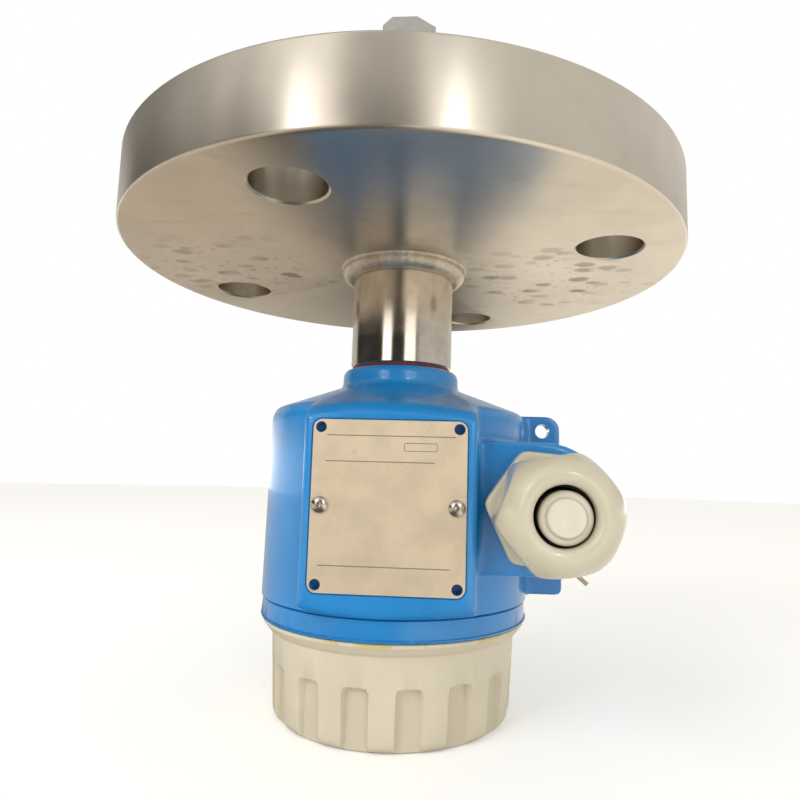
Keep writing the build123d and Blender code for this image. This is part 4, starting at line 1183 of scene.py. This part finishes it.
class SWITCH_OT_stage(bpy.types.Operator):
    """Set the pale floor, the soft lights and the camera"""

    bl_idname = "switch.stage"
    bl_label = "Stage"

    def execute(self, context):
        studio = context.scene.switch_studio
        level = CAD_BOX[0][2] - 0.02 * MM
        floor = linked("floor", mesh_of("floor", rod(FLOOR_R, level - 1.98 * MM, level, segments=128)))
        floor.data.materials.append(self.floor_finish())
        context.scene.world = bpy.data.worlds.new("studio")
        self.surroundings(Shop(context.scene.world), studio)
        body = Vector((0.0, 0.0, -0.06))
        shoulder = Vector((0.0, 0.0, -0.03))
        self.light("window", (-0.60, -0.70, 0.55), body, 0.55, 0.45, studio.key, False)
        self.light("low_fill", (0.30, -0.60, -0.02), body, 0.35, 0.30, studio.fill, False)
        side = 0.022
        self.light("lamp_left", (-0.27, -0.49, 0.19), shoulder, side, side, studio.lamp, True)
        self.light("lamp_right", (0.19, -0.52, 0.19), shoulder, side, side, studio.lamp, True)
        self.camera(context, studio)
        context.scene.view_settings.view_transform = "Standard"
        return {"FINISHED"}

    def floor_finish(self):
        """Pale, and darker where polished metal mirrors it; it also glows, evenly white to the camera, with a
        painted warm glint that shows only in reflections.
        """
        shop, place = begun("pale_floor")
        x = shop.parts(place)[0]
        cloud = shop.clouds(place, 0.004)
        pale = shop.blend(cloud, (0.92, 0.92, 0.91, 1.0), (0.95, 0.95, 0.94, 1.0))
        glossy = shop.ray("Is Glossy Ray")
        mirrored = shop.blend(x.band(0.0, 70.0), (0.13, 0.115, 0.095, 1.0), (0.98, 0.93, 0.84, 1.0))
        mirrored = shop.blend(x.band(-75.0, -125.0), mirrored, (0.78, 0.69, 0.58, 1.0))
        tone = shop.blend(glossy, pale, mirrored)
        # The floor glows: evenly white where the camera sees it, and a painted warm glint on its right half
        # that only reflections show.
        lifted = shop.blend(shop.ray("Is Camera Ray"), BLACK, WHITE)
        floor_glow = shop.blend(glossy * x.band(0.0, 90.0), lifted, (1.35, 1.22, 1.03, 1.0))
        return shop.finish(Base_Color=tone, Roughness=0.8, Emission_Color=floor_glow, Emission_Strength=0.24)

    def surroundings(self, shop, studio):
        """White behind the object, soft light all round, and a room with bright openings in reflections."""
        way = shop.node("ShaderNodeTexCoord", {}, {}, "Generated")
        x, y, z = shop.parts(way)
        turn = x.maths("ARCTAN2", x, 0 - y) * (180 / pi)
        rise = x.maths("ARCSINE", z) * (180 / pi)

        def glow(centre, half, fade):
            """A bright upright band of the room, in degrees from the front."""
            left = turn.band(centre - half - fade, centre - half)
            return left * turn.band(centre + half + fade, centre + half)

        # Three belts one above the other: ceiling, walls, and what lies below.
        high = rise.band(21.0, 28.0)
        low = rise.band(6.0, 1.0)
        middle_zone = 1 - high.highest(low)
        ceiling = 0.62 + turn.band(20.0, 60.0) * 0.22 + turn.band(-20.0, -60.0) * 0.10
        ceiling = ceiling - turn.band(-85.0, -105.0) * 0.42
        ceiling = ceiling + (glow(-66, 1.0, 2.0) + glow(-49, 1.5, 2.5) + glow(-28, 4.0, 3.0)) * 1.1
        ceiling = ceiling + glow(13, 1.0, 2.0)
        walls = 0.04 + glow(-28, 8.0, 4.0) * 2.2 + glow(24, 9.0, 6.0) * 2.0
        walls = walls + turn.band(30.0, 50.0) * 0.6 + turn.band(-112.0, -124.0) * 0.6
        below = 0.12 + turn.band(55.0, 80.0) * 1.9 + turn.band(-60.0, -84.0) * 2.2
        room = high * ceiling + middle_zone * walls + low * below
        glossy = shop.ray("Is Glossy Ray")
        seen = shop.ray("Is Camera Ray")
        strength = glossy * room + (1 - glossy) * studio.daylight
        strength = seen + (1 - seen) * strength
        tint = shop.blend(seen, (1.0, 0.97, 0.91, 1.0), WHITE)
        shader = shop.node("ShaderNodeBackground", {}, {"Color": tint, "Strength": strength})
        shop.end(shader, "ShaderNodeOutputWorld")

    def light(self, name, place, target, width, height, power, mirrored):
        """A rectangular light aimed at a point; mirrored ones show in reflections."""
        data = bpy.data.lights.new(name, "AREA")
        data.shape = "RECTANGLE"
        data.size = width
        data.size_y = height
        data.energy = power
        lamp = linked(name, data)
        aim = target - Vector(place)
        lamp.visible_glossy = mirrored
        lamp.matrix_world = Matrix.Translation(place) @ aim.to_track_quat("-Z", "Y").to_matrix().to_4x4()

    def camera(self, context, studio):
        """The camera, turned by yaw, then pitch, then roll."""
        ahead = Vector((
            sin(studio.yaw) * cos(studio.pitch), cos(studio.yaw) * cos(studio.pitch), sin(studio.pitch)))
        level = Vector((cos(studio.yaw), -sin(studio.yaw), 0.0))
        rising = level.cross(ahead)
        right = level * cos(studio.roll) + rising * sin(studio.roll)
        up = rising * cos(studio.roll) - level * sin(studio.roll)
        data = bpy.data.cameras.new("camera")
        data.lens = studio.lens
        data.sensor_width = SENSOR
        data.shift_x = studio.shift_x
        data.shift_y = studio.shift_y
        data.clip_start = 0.01
        made = linked("camera", data)
        turn = Matrix((right, up, -ahead)).transposed().to_4x4()
        made.matrix_world = Matrix.Translation(studio.place) @ turn
        context.scene.camera = made


OPERATORS = [
    SWITCH_OT_flange, SWITCH_OT_neck, SWITCH_OT_housing, SWITCH_OT_nameplate, SWITCH_OT_gland,
    SWITCH_OT_cover, SWITCH_OT_inside, SWITCH_OT_stage]


class SWITCH_PT_panel(bpy.types.Panel):
    """Buttons for each group of pieces"""

    bl_idname = "SWITCH_PT_panel"
    bl_label = "Level switch"
    bl_space_type = "VIEW_3D"
    bl_region_type = "UI"
    bl_category = "Level switch"

    def draw(self, context):
        for operator in OPERATORS:
            self.layout.operator(operator.bl_idname)


CLASSES = [SwitchSizes, SwitchColours, StudioSettings, *OPERATORS, SWITCH_PT_panel]


def register():
    for made in CLASSES:
        bpy.utils.register_class(made)
    bpy.types.Scene.switch_sizes = PointerProperty(type=SwitchSizes)
    bpy.types.Scene.switch_colours = PointerProperty(type=SwitchColours)
    bpy.types.Scene.switch_studio = PointerProperty(type=StudioSettings)


def unregister():
    del bpy.types.Scene.switch_studio
    del bpy.types.Scene.switch_colours
    del bpy.types.Scene.switch_sizes
    for made in reversed(CLASSES):
        bpy.utils.unregister_class(made)


def main():
    register()
    bpy.ops.switch.flange()
    bpy.ops.switch.neck()
    bpy.ops.switch.housing()
    bpy.ops.switch.nameplate()
    bpy.ops.switch.gland()
    bpy.ops.switch.cover()
    bpy.ops.switch.inside()
    bpy.ops.switch.stage()
    bpy.context.view_layer.update()


if __name__ == "__main__":
    main()
